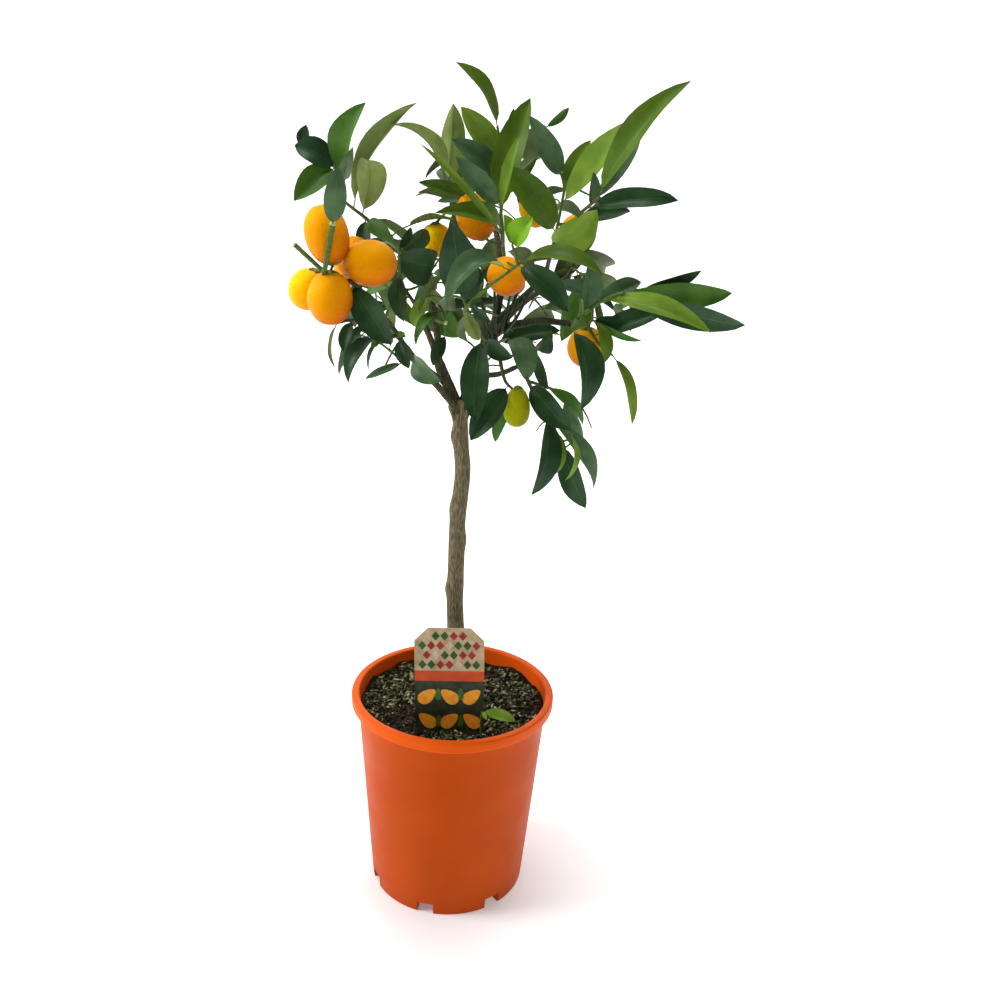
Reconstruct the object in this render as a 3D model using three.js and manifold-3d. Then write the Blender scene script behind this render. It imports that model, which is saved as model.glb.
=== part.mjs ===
// A potted kumquat tree in millimetres: pot, soil, label, trunk, boughs and masses of foliage.
// X runs to the right, Y to the back and Z up. The pot stands on Z = 0 and its axis is the Z axis.
import * as THREE from 'three';
import { mergeVertices } from 'three/addons/utils/BufferGeometryUtils.js';
import Module from 'manifold-3d';

const wasm = await Module();
wasm.setup();

// Driving sizes of the pot
const potHeight = 200;
const rimRadius = 95;
const baseRadius = 74;
const lipHeight = 10.5;
const lipOverhang = 5.5;
const wallThickness = 1.8;
const lipRounding = 1.5;
const potSides = 44;

// The underside: a raised ring for drainage, which notches in the skirt lead to
const channelHeight = 12;
const channelInner = 52;
const channelOuter = 66;
const channelSlope = 2;
const notchCount = 7;
const notchWidth = 16;
const firstNotchAngle = -13;

// Soil and label
const soilLevel = 185;
const soilRoughness = 4;
const soilFlatRadius = 30;
const soilRings = 6;
const soilClearance = 0.6;
const soilSides = 20;
const labelWidth = 62;
const labelShoulder = 20;
const labelChamfer = 12;
const labelTop = 286;
const labelFoot = 150;
const labelThickness = 1;
const labelY = -52;
const labelLean = 3;

// Trunk: centres from the soil to the fork, with its radius at both ends
const gap = 0.3;
const clearance = 0.32;
const leafClearance = 0.35;
const trunkPath = [
  [3, 0, soilLevel + gap], [2, 0, 215], [1, 0, 255], [-1, 0, 292], [-1, 0, 337],
  [-1, 0, 371], [2, 0, 413], [0, 0, 440], [-3, 0, 482],
];
const trunkFootRadius = 8.3;
const trunkTipRadius = 6.6;
const flareRadius = 4.5;
const flareHeight = 16;
const trunkSides = 12;
const trunkSteps = 22;
const knotReach = 7;
// Each knot is a height, a direction in degrees seen from above, and how far it stands out
const knots = [
  [303, 190, 1.6], [352, 0, 1.5], [383, 185, 1.3], [448, 180, 2.2], [474, 175, 3.2], [250, 20, 1.2],
];

// Boughs: what they start on, the points they grow through, their radius at both ends
const boughSides = 6;
const boughSteps = 4;
const boughs = {
  bough_left: ['trunk', [[-4, 0, 476], [-20, -5, 507], [-21, -10, 529], [-27, -20, 566]], 3.9, 2.6],
  bough_left_front: ['trunk', [[-2, -2, 470], [-19, -20, 495], [-40, -42, 524], [-50, -60, 546]], 3.2, 2.0],
  bough_left_low: ['trunk', [[-2, -1, 452], [-14, -10, 493], [-27, -26, 511], [-38, -44, 525]], 2.2, 1.8],
  bough_right: ['trunk', [[0, 0, 474], [21, 0, 534], [54, -20, 554], [86, -38, 557]], 4.4, 2.3],
  bough_right_low: ['bough_right', [[9, -1, 503], [30, -14, 508], [50, -33, 522]], 2.6, 1.8],
  bough_hanging: ['bough_right', [[15, -1, 518], [20, -16, 532], [26, -32, 541]], 2.6, 1.8],
  bough_centre: ['bough_right', [[20, -2, 530], [14, -26, 552], [8, -62, 563]], 3.4, 2.2],
  bough_crest: ['bough_right', [[20, 2, 528], [27, 6, 562], [30, 6, 602]], 4.0, 2.4],
  bough_crest_right: ['bough_crest', [[25, 4, 548], [48, -4, 572], [64, -22, 592]], 3.2, 2.0],
  bough_back_left: ['trunk', [[-3, 2, 474], [-24, 26, 512], [-45, 58, 548]], 4.0, 2.2],
  bough_back_right: ['bough_right', [[22, 2, 537], [44, 30, 558], [72, 62, 574]], 3.4, 2.2],
  bough_back_top: ['bough_crest', [[28, 6, 580], [24, 26, 612], [16, 48, 636]], 3.0, 2.0],
  bough_back_low: ['trunk', [[0, 2, 448], [6, 34, 484], [12, 66, 506]], 3.2, 2.0],
};

// Leaves and twigs
const stalkRadius = 0.6;
const leafThickness = 0.013;
const leastLeafThickness = 0.7;
const foldRise = 0.28;
const leafArch = 0.07;
const stemRadius = 1.9;
const stemStart = 0.4;
const twigRadius = 1.3;
const twigTipRadius = 1.0;
const sprigRadius = 1.1;
const twigStepsPerPoint = 2;
const endInset = 0.09;
const fruitSides = 8;
const fruitRings = 5;
const fruitStalkRadius = 1.0;
// Share of a leaf's length and of its half width at each cross section
const leafStations = [[0.08, 0], [0.38, 0.97], [0.7, 0.86]];
const ruleLeafStations = [[0.42, 1], [0.72, 0.8]];

// Leaves grown by rule on the sprigs that fill a mass
const goldenAngle = 137.5;
const leavesPerSprig = 6;
const sprigLength = 58;
const sprigReach = 0.5;
const sprigReachSpread = 0.25;
const leafTipMargin = 1.3;

// How far joining may move a surface to save small triangles
const joinTolerances = [0.12, 0.1, 0.14, 0.08, 0.16, 0.06, 0.18, 0.05, 0.2, 0.12];
const cutTolerance = 0.02;
const twinDistance = 0.002;
const ruleLeafLength = 62;
const ruleLeafWidth = 0.38;

// A mass has a bough, the points its stem grows through, twigs, leaves, fruit and a space.
// A twig is the twig it starts on (0 is the stem), the place there and the points it grows through.
// A leaf is its twig and place, its turn from the right seen from the front and its lean to the
// viewer in degrees, its length and width, how far its upper side turns from the viewer, its arch.
// A fruit is its centre, length, width, turn and lean, its twig and the place there.
const masses = [
  {
    name: 'foliage_left_fruit',
    bough: 'bough_left_front',
    stem: [[-64, -90, 573], [-77, -120, 593], [-95, -136, 600]],
    twigs: [
      [0, 1, [[-86, -146, 636]]],
      [0, 0.92, [[-98, -128, 603], [-117, -122, 618]]],
      [0, 0.55, [[-75, -86, 620]]],
      [0, 0.2, [[-46, -86, 598]]],
    ],
    leaves: [
      [0, 0.67, -54, 13, 52, 24, 15, 0.06],
      [1, 0.95, 81, 17, 42, 16, 10, 0.06],
      [4, 0.95, -82, 26, 36, 16, 20, 0.08],
    ],
    fruits: [
      [-94, -124, 626, 42, 31, 105, 0, 0, 0.97],
      [-64, -118, 607, 38, 33, 2, 10, 0, 0.66],
      [-91, -130, 583, 38, 32, -90, 5, 0, 0.76],
      [-112, -100, 584, 31, 29, -110, 0, 0, 0.8],
      [-80, -92, 608, 30, 27, 80, -10, 3, 0.4],
    ],
    space: [[-66, -84, 604], [34, 40, 32]],
    sprigs: 2,
    seed: 11,
  },
  {
    name: 'foliage_left_upper',
    bough: 'bough_left',
    stem: [[-44, -46, 602], [-74, -70, 634], [-92, -70, 648], [-89, -67, 664]],
    twigs: [
      [0, 0.2, [[-22, -48, 599]]],
      [0, 1, [[-97, -68, 669]]],
      [2, 1, [[-110, -62, 679], [-123, -64, 682]]],
      [0, 0.04, [[-17, -36, 562], [-14, -34, 542]]],
    ],
    leaves: [
      [0, 0.6, 61, -21, 94, 20, -130, 0.14],
      [0, 0.94, 71, 23, 62, 25, -35, 0.12],
      [0, 0.93, 64, 47, 44, 10, 10, 0.06],
      [2, 0.93, 153, 10, 33, 22, 35, 0.16],
      [2, 0.95, -139, 37, 43, 20, 10, 0.1],
      [0, 0.53, 80, 32, 49, 24, 172, 0.2],
      [0, 0.49, -32, 41, 34, 13, -20, 0.1],
      [1, 0.95, 161, 45, 40, 31, 0, 0.12],
      [0, 0.3, 36, -42, 33, 15, 15, 0.1],
      [0, 0.06, -113, -9, 31, 13, 15, 0.08],
      [3, 0.97, 74, 14, 17, 10, 10, 0.06],
      [0, 0.5, -88, 11, 32, 14, 20, 0.08],
      [0, 0.31, 61, -30, 20, 7.4, 20, 0.08],
      [4, 0.5, -127, 17, 35, 11, 50, 0.22],
      [4, 0.98, -111, 13, 27, 12, 10, 0.06],
    ],
    fruits: [],
    space: [[-44, -30, 598], [42, 50, 44]],
    sprigs: 5,
    seed: 12,
  },
  {
    name: 'foliage_left_low',
    bough: 'bough_left_low',
    stem: [[-50, -68, 546], [-61, -84, 547], [-75, -102, 563], [-89, -118, 563]],
    twigs: [
      [0, 0.28, [[-43, -70, 547]]],
      [0, 0.1, [[-47, -50, 521]]],
    ],
    leaves: [
      [0, 0.81, -105, 25, 24, 11, 20, 0.06],
      [0, 0.7, -122, 20, 18, 7.1, 20, 0.08],
      [0, 0.5, -126, 36, 44, 18, 45, 0.24],
      [0, 0.48, -113, -24, 34, 6.2, 60, 0.08],
      [0, 0.51, -128, 23, 10, 6.1, 0, 0.08],
      [2, 0.95, -157, 18, 33, 7.4, 30, 0.08],
      [0, 0.22, -62, 43, 29, 13, 10, 0.08],
      [0, 0.02, -31, 43, 38, 20, 20, 0.1],
      [0, 0.99, -91, 18, 33, 7, 70, 0.1],
      [0, 0.75, -17, 33, 22, 10, 15, 0.08],
      [1, 0.8, 124, 36, 7, 6.2, 0, 0.08],
    ],
    fruits: [],
    space: [[-68, -50, 540], [42, 45, 38]],
    sprigs: 3,
    seed: 13,
  },
  {
    name: 'foliage_crest',
    bough: 'bough_crest',
    stem: [[26, -16, 636], [27, -8, 668], [20, 0, 703]],
    twigs: [
      [0, 0.3, [[0, -24, 648], [-19, -20, 662]]],
      [0, 0.1, [[29, -50, 625], [26, -62, 648]]],
    ],
    leaves: [
      [0, 0.19, 132, 26, 104, 7.6, 40, 0.03],
      [0, 0.99, 124, 10, 58, 18, 125, 0.13],
      [0, 0.75, 131, 17, 53, 20, 10, 0.05],
      [1, 0.91, 88, -9, 67, 23, 165, 0.08],
      [0, 0.65, 148, 16, 51, 18, 12, 0.08],
      [2, 0.96, 134, 26, 54, 16, 12, 0.08],
      [0, 0.34, 78, 0, 90, 25, -18, 0.12],
      [2, 0.87, 79, 14, 58, 10, -40, 0.06],
      [0, 0.65, 84, -21, 55, 10, 10, 0.06],
      [0, 0.48, 51, 0, 41, 7.3, 30, 0.08],
      [1, 0.55, 163, 31, 43, 11, 20, 0.12],
      [1, 0.53, -171, 0, 23, 6.7, 20, 0.08],
      [0, 0.22, 161, 40, 68, 17, 40, 0.2],
      [1, 0.98, 133, 17, 61, 22, 125, 0.16],
    ],
    fruits: [
      [6, -22, 635, 38, 30, 115, 0, 2, 0.1],
      [-25, -16, 615, 27, 26, -85, 0, 1, 0.55],
    ],
    space: [[14, -10, 642], [48, 42, 48]],
    sprigs: 4,
    seed: 14,
  },
  {
    name: 'foliage_crest_right',
    bough: 'bough_crest_right',
    stem: [[68, -56, 619], [84, -84, 645], [96, -110, 659]],
    twigs: [
      [0, 0.25, [[73, -38, 651], [72, -32, 668], [56, -40, 705]]],
    ],
    leaves: [
      [1, 0.31, 53, 36, 102, 22, -40, 0.06],
      [0, 0.96, 57, 11, 98, 20, -40, 0.1],
      [0, 0.83, 68, -34, 78, 13, 10, 0.05],
      [1, 0.46, 66, 8, 43, 14, -30, 0.12],
      [0, 0.81, 86, 0, 23, 9, 20, 0.08],
      [0, 0.76, 9, 9, 66, 17, -35, 0.08],
      [0, 0.33, 45, 28, 47, 29, 10, 0.12],
      [0, 0.24, 26, -19, 42, 17, 10, 0.1],
      [1, 0.14, 132, 17, 68, 26, 15, 0.1],
      [1, 0.66, 122, 30, 59, 18, 12, 0.08],
      [1, 0.99, 41, -23, 25, 7.2, 20, 0.08],
    ],
    fruits: [],
    space: [[80, -25, 636], [40, 48, 42]],
    sprigs: 4,
    seed: 15,
  },
  {
    name: 'foliage_centre',
    bough: 'bough_centre',
    stem: [[3, -90, 573], [20, -101, 592], [32, -105, 602], [43, -105, 611]],
    twigs: [
      [0, 0.05, [[0, -72, 579]]],
      [0, 0.95, [[36, -110, 624]]],
    ],
    leaves: [
      [1, 0.94, 98, 25, 65, 31, 8, 0.08],
      [0, 0.82, -149, 23, 56, 21, 50, 0.4],
      [2, 0.95, 108, 10, 23, 12, 25, 0.08],
      [2, 0.95, 65, 13, 27, 18, -20, 0.12],
      [0, 0.99, -3, 17, 62, 17, -50, 0.2],
      [0, 0.94, -37, 21, 51, 21, -30, 0.14],
      [0, 0.32, -33, 31, 23, 7.1, 20, 0.1],
      [0, 0.29, 30, 33, 14, 7.1, 20, 0.1],
      [0, 0.26, -62, 27, 27, 12, 150, 0.1],
      [1, 0.77, 75, 8, 31, 20, 10, 0.08],
    ],
    fruits: [
      [33, -84, 598, 29, 29, -60, 30, 0, 0.9],
    ],
    space: [[8, -52, 588], [56, 44, 44]],
    sprigs: 6,
    seed: 16,
  },
  {
    name: 'foliage_right',
    bough: 'bough_right',
    stem: [[108, -60, 580], [122, -76, 589]],
    twigs: [
      [0, 0.2, [[106, -60, 548], [119, -64, 538]]],
      [0, 0.35, [[101, -62, 564]]],
      [0, 0.4, [[116, -40, 582], [141, -26, 585]]],
      [0, 0.1, [[85, -66, 558]]],
    ],
    leaves: [
      [0, 0.5, -9, 27, 89, 17, -35, 0.14],
      [3, 0.7, 2, 0, 86, 24, 12, 0.05],
      [3, 0.97, 22, 16, 51, 12, 12, 0.08],
      [0, 0.87, -13, -7, 106, 21, 15, 0.08],
      [3, 0.03, 28, -14, 40, 15, -30, 0.12],
      [1, 0.4, 22, 0, 59, 19, -30, 0.1],
      [2, 0.85, -20, 11, 42, 7.2, 30, 0.08],
      [2, 0.91, -66, 19, 36, 14, -40, 0.24],
      [4, 0.95, -74, 22, 64, 27, -35, 0.2],
      [0, 0.28, 92, 11, 43, 18, 15, 0.08],
      [1, 0.98, -70, 25, 57, 11, -40, 0.16],
      [2, 0.94, 5, 0, 23, 12, 20, 0.08],
    ],
    fruits: [
      [100, -46, 540, 32, 33, -85, 0, 2, 1],
    ],
    space: [[124, -16, 568], [46, 50, 24]],
    sprigs: 4,
    seed: 17,
  },
  {
    name: 'foliage_right_low',
    bough: 'bough_right_low',
    stem: [[55, -48, 509], [69, -62, 490], [84, -60, 464]],
    twigs: [
      [0, 0.3, [[82, -40, 501], [98, -30, 490]]],
      [0, 0.75, [[90, -74, 476]]],
      [0, 0.04, [[60, -50, 537]]],
    ],
    leaves: [
      [0, 0.33, -40, 43, 55, 22, 12, 0.08],
      [0, 0.68, -97, 14, 67, 22, -30, 0.16],
      [0, 0.83, -89, 19, 38, 9, -50, 0.2],
      [1, 0.26, -43, -10, 48, 14, -50, 0.16],
      [1, 0.57, -60, -16, 50, 14, 15, 0.08],
      [2, 0.03, -55, -6, 71, 19, -50, 0.12],
      [2, 0.96, -92, 15, 38, 9, -50, 0.2],
      [0, 0.98, -61, 20, 59, 21, 12, 0.08],
      [3, 0.95, -71, -10, 35, 11, 20, 0.08],
      [3, 0.95, 54, 30, 20, 15, 15, 0.1],
      [3, 0.94, 59, 16, 22, 10, 20, 0.1],
    ],
    fruits: [],
    space: [[86, -25, 470], [32, 40, 32]],
    sprigs: 3,
    seed: 18,
  },
  {
    name: 'foliage_hanging',
    bough: 'bough_hanging',
    stem: [[31, -48, 526], [36, -58, 512], [44, -62, 506]],
    twigs: [
      [0, 0.2, [[14, -58, 548]]],
      [0, 0.08, [[36, -54, 546]]],
    ],
    leaves: [
      [1, 0.9, -92, 24, 68, 24, 10, 0.06],
      [0, 0.76, -124, 22, 54, 23, 12, 0.06],
      [0, 0.95, -106, -7, 48, 12, 20, 0.08],
      [2, 0.96, -60, 28, 38, 22, -35, 0.3],
      [1, 0.71, -27, 26, 27, 16, 15, 0.1],
    ],
    fruits: [
      [46, -62, 493, 33, 21.5, -90, 0, 0, 1],
    ],
    space: [[30, -36, 520], [36, 34, 26]],
    sprigs: 2,
    seed: 19,
  },
  {
    name: 'foliage_back_left',
    bough: 'bough_back_left',
    stem: [[-68, 84, 572], [-86, 92, 598]],
    twigs: [
      [0, 0.3, [[-44, 88, 566], [-22, 102, 600]]],
    ],
    leaves: [
      [0, 0.9, -120, -58, 68, 24, 0, 0.1],
      [0, 0.6, 170, -40, 64, 24, 0, 0.1],
      [1, 0.9, -60, -48, 62, 23, 0, 0.1],
      [1, 1, 60, -50, 54, 21, 0, 0.1],
    ],
    fruits: [
      [-112, 98, 576, 34, 28, -85, 0, 0, 1],
      [-13, 110, 583, 34, 28, -80, 0, 1, 1],
    ],
    space: [[-62, 70, 574], [62, 66, 46]],
    sprigs: 8,
    seed: 20,
  },
  {
    name: 'foliage_back_right',
    bough: 'bough_back_right',
    stem: [[88, 84, 580], [98, 96, 606]],
    twigs: [
      [0, 0.3, [[72, 96, 568]]],
      [0, 0.2, [[104, 88, 540]]],
    ],
    leaves: [
      [0, 1, -40, -55, 70, 25, 0, 0.1],
      [0, 0.7, -120, -50, 66, 24, 0, 0.1],
      [0, 0.5, -15, -38, 64, 24, 0, 0.1],
      [1, 1, 50, -52, 62, 23, 0, 0.1],
    ],
    fruits: [
      [92, 100, 616, 32, 27, 80, 0, 0, 1],
      [112, 90, 514, 33, 27, -85, 0, 2, 1],
    ],
    space: [[76, 76, 562], [64, 66, 40]],
    sprigs: 8,
    seed: 21,
  },
  {
    name: 'foliage_back_top',
    bough: 'bough_back_top',
    stem: [[14, 62, 662], [18, 66, 692]],
    twigs: [
      [0, 0.35, [[36, 92, 652]]],
    ],
    leaves: [
      [0, 0.9, -100, -60, 74, 26, 0, 0.1],
      [0, 0.7, 165, -50, 70, 25, 0, 0.1],
      [0, 0.8, 15, -45, 70, 25, 0, 0.1],
      [1, 1, -40, -55, 60, 22, 0, 0.1],
    ],
    fruits: [
      [54, 96, 634, 32, 26, -60, 0, 1, 1],
    ],
    space: [[26, 68, 656], [60, 58, 48]],
    sprigs: 7,
    seed: 22,
  },
  {
    name: 'foliage_back_low',
    bough: 'bough_back_low',
    stem: [[12, 92, 512], [14, 112, 564]],
    twigs: [
      [0, 0.4, [[44, 108, 530]]],
    ],
    leaves: [
      [0, 0.8, -95, -52, 58, 23, 0, 0.1],
      [0, 0.6, 160, -44, 60, 23, 0, 0.1],
      [1, 1, 10, -50, 58, 22, 0, 0.1],
      [0, 1, 70, -50, 52, 21, 0, 0.1],
    ],
    fruits: [
      [34, 118, 566, 33, 27, 0, 0, 0, 1],
    ],
    space: [[20, 92, 532], [74, 56, 36]],
    sprigs: 6,
    seed: 23,
  },
];

const colours = {
  pot: 0xd0521a,
  soil: 0x2b2a18,
  label: 0x8c5a3c,
  bark: 0x6f6656,
  leaf: 0x3c5c2c,
};

// Vectors

function vector(point) {
  return new THREE.Vector3(point[0], point[1], point[2]);
}

function radians(degrees) {
  return THREE.MathUtils.degToRad(degrees);
}

function direction(turn, lean) {
  const flat = Math.cos(radians(lean));
  return new THREE.Vector3(
    Math.cos(radians(turn)) * flat,
    -Math.sin(radians(lean)),
    Math.sin(radians(turn)) * flat,
  );
}

function squareTo(axis, wish) {
  const across = wish.clone().addScaledVector(axis, -wish.dot(axis));
  if (across.length() < 0.05) {
    const spare = Math.abs(axis.z) < 0.8 ? new THREE.Vector3(0, 0, 1) : new THREE.Vector3(1, 0, 0);
    across.copy(spare).addScaledVector(axis, -spare.dot(axis));
  }
  return across.normalize();
}

function smooth(a, b, c, d, t) {
  const linear = (c - a) * t;
  const square = (2 * a - 5 * b + 4 * c - d) * t * t;
  const cube = (3 * b - a - 3 * c + d) * t * t * t;
  return 0.5 * (2 * b + linear + square + cube);
}

// The point at a share of the way along a smooth line through the given points
function along(points, share) {
  const last = points.length - 1;
  const first = Math.min(Math.floor(share * last), last - 1);
  const t = share * last - first;
  const near = (k) => points[Math.max(0, Math.min(last, k))];
  const place = [0, 1, 2].map((axis) => smooth(
    near(first - 1)[axis],
    near(first)[axis],
    near(first + 1)[axis],
    near(first + 2)[axis],
    t,
  ));
  return vector(place);
}

function seededRandom(seed) {
  let state = seed;
  return () => {
    state = (state + 0x6d2b79f5) | 0;
    let mixed = Math.imul(state ^ (state >>> 15), state | 1);
    mixed ^= mixed + Math.imul(mixed ^ (mixed >>> 7), mixed | 61);
    return ((mixed ^ (mixed >>> 14)) >>> 0) / 4294967296;
  };
}

// Solids

function solidFromRings(rings, endsInPoint) {
  const sides = rings[0].length;
  const points = rings.flat();
  const triangles = [];
  for (let k = 0; k + 1 < rings.length; k += 1) {
    for (let s = 0; s < sides; s += 1) {
      const a = k * sides + s;
      const b = k * sides + ((s + 1) % sides);
      triangles.push(a, b, b + sides, a, b + sides, a + sides);
    }
  }
  const lastStart = (rings.length - 1) * sides;
  if (endsInPoint) {
    const tip = points.length;
    points.push(endsInPoint);
    for (let s = 0; s < sides; s += 1) {
      triangles.push(lastStart + s, lastStart + ((s + 1) % sides), tip);
    }
  }
  for (let s = 1; s + 1 < sides; s += 1) {
    triangles.push(0, s + 1, s);
    if (!endsInPoint) {
      triangles.push(lastStart, lastStart + s, lastStart + s + 1);
    }
  }
  const vertProperties = new Float32Array(points.flatMap((p) => [p.x, p.y, p.z]));
  return new wasm.Manifold(new wasm.Mesh({
    numProp: 3,
    vertProperties,
    triVerts: new Uint32Array(triangles),
  }));
}

function solidFromGeometry(geometry) {
  const bare = geometry.clone();
  bare.deleteAttribute('normal');
  bare.deleteAttribute('uv');
  const merged = mergeVertices(bare, 1e-4);
  return new wasm.Manifold(new wasm.Mesh({
    numProp: 3,
    vertProperties: new Float32Array(merged.attributes.position.array),
    triVerts: new Uint32Array(merged.index.array),
  }));
}

function geometryFromSolid(solid) {
  const mesh = solid.getMesh();
  const geometry = new THREE.BufferGeometry();
  geometry.setAttribute('position', new THREE.BufferAttribute(mesh.vertProperties, 3));
  geometry.setIndex(new THREE.BufferAttribute(mesh.triVerts, 1));
  geometry.computeVertexNormals();
  return geometry;
}

// A limb: rings of points round a smooth line, with its radius as a function of share and angle
function limbSolid(points, radiusAt, sides, steps, ringsAreLevel, overrun) {
  const rings = [];
  const step = 0.5 / steps;
  let normal = null;
  for (let k = 0; k <= steps; k += 1) {
    const share = k / steps;
    const centre = along(points, share);
    const tangent = ringsAreLevel ? new THREE.Vector3(0, 0, 1)
      : along(points, Math.min(1, share + step))
        .sub(along(points, Math.max(0, share - step)))
        .normalize();
    normal = squareTo(tangent, normal || new THREE.Vector3(1, 0, 0));
    const side = tangent.clone().cross(normal);
    if (k === 0 || k === steps) {
      centre.addScaledVector(tangent, k === 0 ? -overrun : overrun);
    }
    const ring = [];
    for (let s = 0; s < sides; s += 1) {
      const angle = (2 * Math.PI * s) / sides;
      const radius = radiusAt(share, angle, centre);
      ring.push(centre.clone()
        .addScaledVector(normal, radius * Math.cos(angle))
        .addScaledVector(side, radius * Math.sin(angle)));
    }
    rings.push(ring);
  }
  return solidFromRings(rings, null);
}

// A round limb, thicker all over and longer at both ends by the extra
function taperedSolid(points, startRadius, endRadius, sides, steps, extra = 0) {
  const radiusAt = (share) => startRadius + (endRadius - startRadius) * share + extra;
  return limbSolid(points, radiusAt, sides, steps, false, extra);
}

function trunkRadius(share, angle, centre, extra) {
  const height = centre.z - trunkPath[0][2];
  const taper = trunkFootRadius + (trunkTipRadius - trunkFootRadius) * share;
  const flare = flareRadius * Math.exp(-height / flareHeight) * (1 + 0.2 * Math.cos(3 * angle));
  let radius = taper + flare + extra;
  for (const [knotHeight, knotTurn, rise] of knots) {
    const up = (centre.z - knotHeight) / knotReach;
    const facing = Math.max(0, Math.cos(angle - radians(knotTurn)));
    radius += rise * Math.exp(-up * up) * facing * facing;
  }
  return radius;
}

function trunkSolid(extra) {
  const radiusAt = (share, angle, centre) => trunkRadius(share, angle, centre, extra);
  return limbSolid(trunkPath, radiusAt, trunkSides, trunkSteps, true, extra);
}

// A leaf: its stalk starts in its twig, and each section has two edges, a midrib and an underside
function leafSolid(base, axis, upper, length, width, arch, stations) {
  const normal = squareTo(axis, upper);
  const side = normal.clone().cross(axis);
  const thickness = Math.max(leastLeafThickness, length * leafThickness);
  const centreAt = (share) => base.clone()
    .addScaledVector(axis, length * share)
    .addScaledVector(normal, arch * length * 4 * share * (1 - share));
  const section = (share, halfWidth, halfThickness, rise) => {
    const centre = centreAt(share);
    return [
      centre.clone().addScaledVector(side, halfWidth).addScaledVector(normal, rise),
      centre.clone().addScaledVector(normal, halfThickness),
      centre.clone().addScaledVector(side, -halfWidth).addScaledVector(normal, rise),
      centre.clone().addScaledVector(normal, -halfThickness),
    ];
  };
  const rings = [section(0, stalkRadius, stalkRadius, 0)];
  for (const [share, breadth] of stations) {
    const halfWidth = Math.max(stalkRadius, (width / 2) * breadth);
    const halfThickness = breadth > 0 ? thickness / 2 : stalkRadius;
    const rise = breadth > 0 ? halfWidth * foldRise : 0;
    rings.push(section(share, halfWidth, halfThickness, rise));
  }
  return solidFromRings(rings, centreAt(1));
}

function fruitSolid(centre, axis, length, width) {
  const normal = squareTo(axis, new THREE.Vector3(1, 0, 0));
  const side = axis.clone().cross(normal);
  const rings = [];
  for (let k = 0; k <= fruitRings; k += 1) {
    const polar = Math.PI * (0.06 + (0.88 * k) / fruitRings);
    const middle = centre.clone().addScaledVector(axis, (-length / 2) * Math.cos(polar));
    const radius = (width / 2) * Math.sin(polar);
    const ring = [];
    for (let s = 0; s < fruitSides; s += 1) {
      const angle = (2 * Math.PI * s) / fruitSides;
      ring.push(middle.clone()
        .addScaledVector(normal, radius * Math.cos(angle))
        .addScaledVector(side, radius * Math.sin(angle)));
    }
    rings.push(ring);
  }
  return solidFromRings(rings, null);
}

// Pot, soil and label

function lathe(profile, sides) {
  const points = profile.map(([radius, height]) => new THREE.Vector2(radius, height));
  const geometry = new THREE.LatheGeometry(points, sides);
  geometry.rotateX(Math.PI / 2);
  return geometry;
}

function wallRadiusAt(height) {
  const top = rimRadius - lipOverhang;
  return baseRadius + ((top - baseRadius) * height) / potHeight;
}

function potSolid() {
  const lipFoot = potHeight - lipHeight;
  const inside = (height) => wallRadiusAt(height) - wallThickness;
  const floor = channelHeight + wallThickness;
  const profile = [
    [0, 0],
    [channelInner, 0],
    [channelInner + channelSlope, channelHeight],
    [channelOuter - channelSlope, channelHeight],
    [channelOuter, 0],
    [baseRadius, 0],
    [wallRadiusAt(lipFoot), lipFoot],
    [rimRadius - lipRounding, lipFoot],
    [rimRadius, lipFoot + lipRounding],
    [rimRadius, potHeight - lipRounding],
    [rimRadius - lipRounding, potHeight],
    [inside(potHeight) + lipRounding, potHeight],
    [inside(potHeight), potHeight - lipRounding],
    [inside(floor), floor],
    [channelInner, floor],
    [channelInner - channelSlope, wallThickness],
    [0, wallThickness],
  ];
  const geometry = lathe(profile, potSides);
  let pot = solidFromGeometry(geometry);
  if (pot.volume() < 0) {
    geometry.index.array.reverse();
    pot = solidFromGeometry(geometry);
  }
  for (let k = 0; k < notchCount; k += 1) {
    const depth = baseRadius - channelOuter + 2 * channelSlope + 4;
    const notch = new THREE.BoxGeometry(notchWidth, depth, 2 * channelHeight - 2);
    notch.translate(0, -(channelOuter - 2 * channelSlope + depth / 2), 0);
    notch.rotateZ(radians(firstNotchAngle + (360 / notchCount) * k));
    pot = pot.subtract(solidFromGeometry(notch));
  }
  return pot;
}

// The soil's height over the pot: flat round the trunk, uneven further out
function soilHeight(x, y) {
  const reach = Math.hypot(x, y);
  const rough = Math.min(1, Math.max(0, (reach - soilFlatRadius) / soilFlatRadius));
  const mounds = Math.sin(x * 0.11 + 1) * Math.cos(y * 0.09) + 0.6 * Math.sin((x + y) * 0.21);
  return soilLevel + soilRoughness * rough * (0.5 * mounds - 0.3);
}

function soilSolid(label) {
  const floor = channelHeight + wallThickness + gap;
  const low = wallThickness + gap;
  const inside = (height) => wallRadiusAt(height) - wallThickness - soilClearance;
  const outer = inside(soilLevel);
  const profile = [
    [0, low],
    [channelInner - channelSlope - gap, low],
    [channelInner - gap, floor],
    [inside(floor), floor],
    [outer, soilLevel],
  ];
  for (let k = soilRings - 1; k >= 0; k -= 1) {
    profile.push([(outer * k) / soilRings, soilLevel]);
  }
  const geometry = lathe(profile, soilSides);
  const places = geometry.attributes.position;
  for (let k = 0; k < places.count; k += 1) {
    if (places.getZ(k) > soilLevel - 1) {
      places.setZ(k, soilHeight(places.getX(k), places.getY(k)));
    }
  }
  let soil = solidFromGeometry(geometry);
  if (soil.volume() < 0) {
    geometry.index.array.reverse();
    soil = solidFromGeometry(geometry);
  }
  return soil.subtract(label);
}

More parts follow.
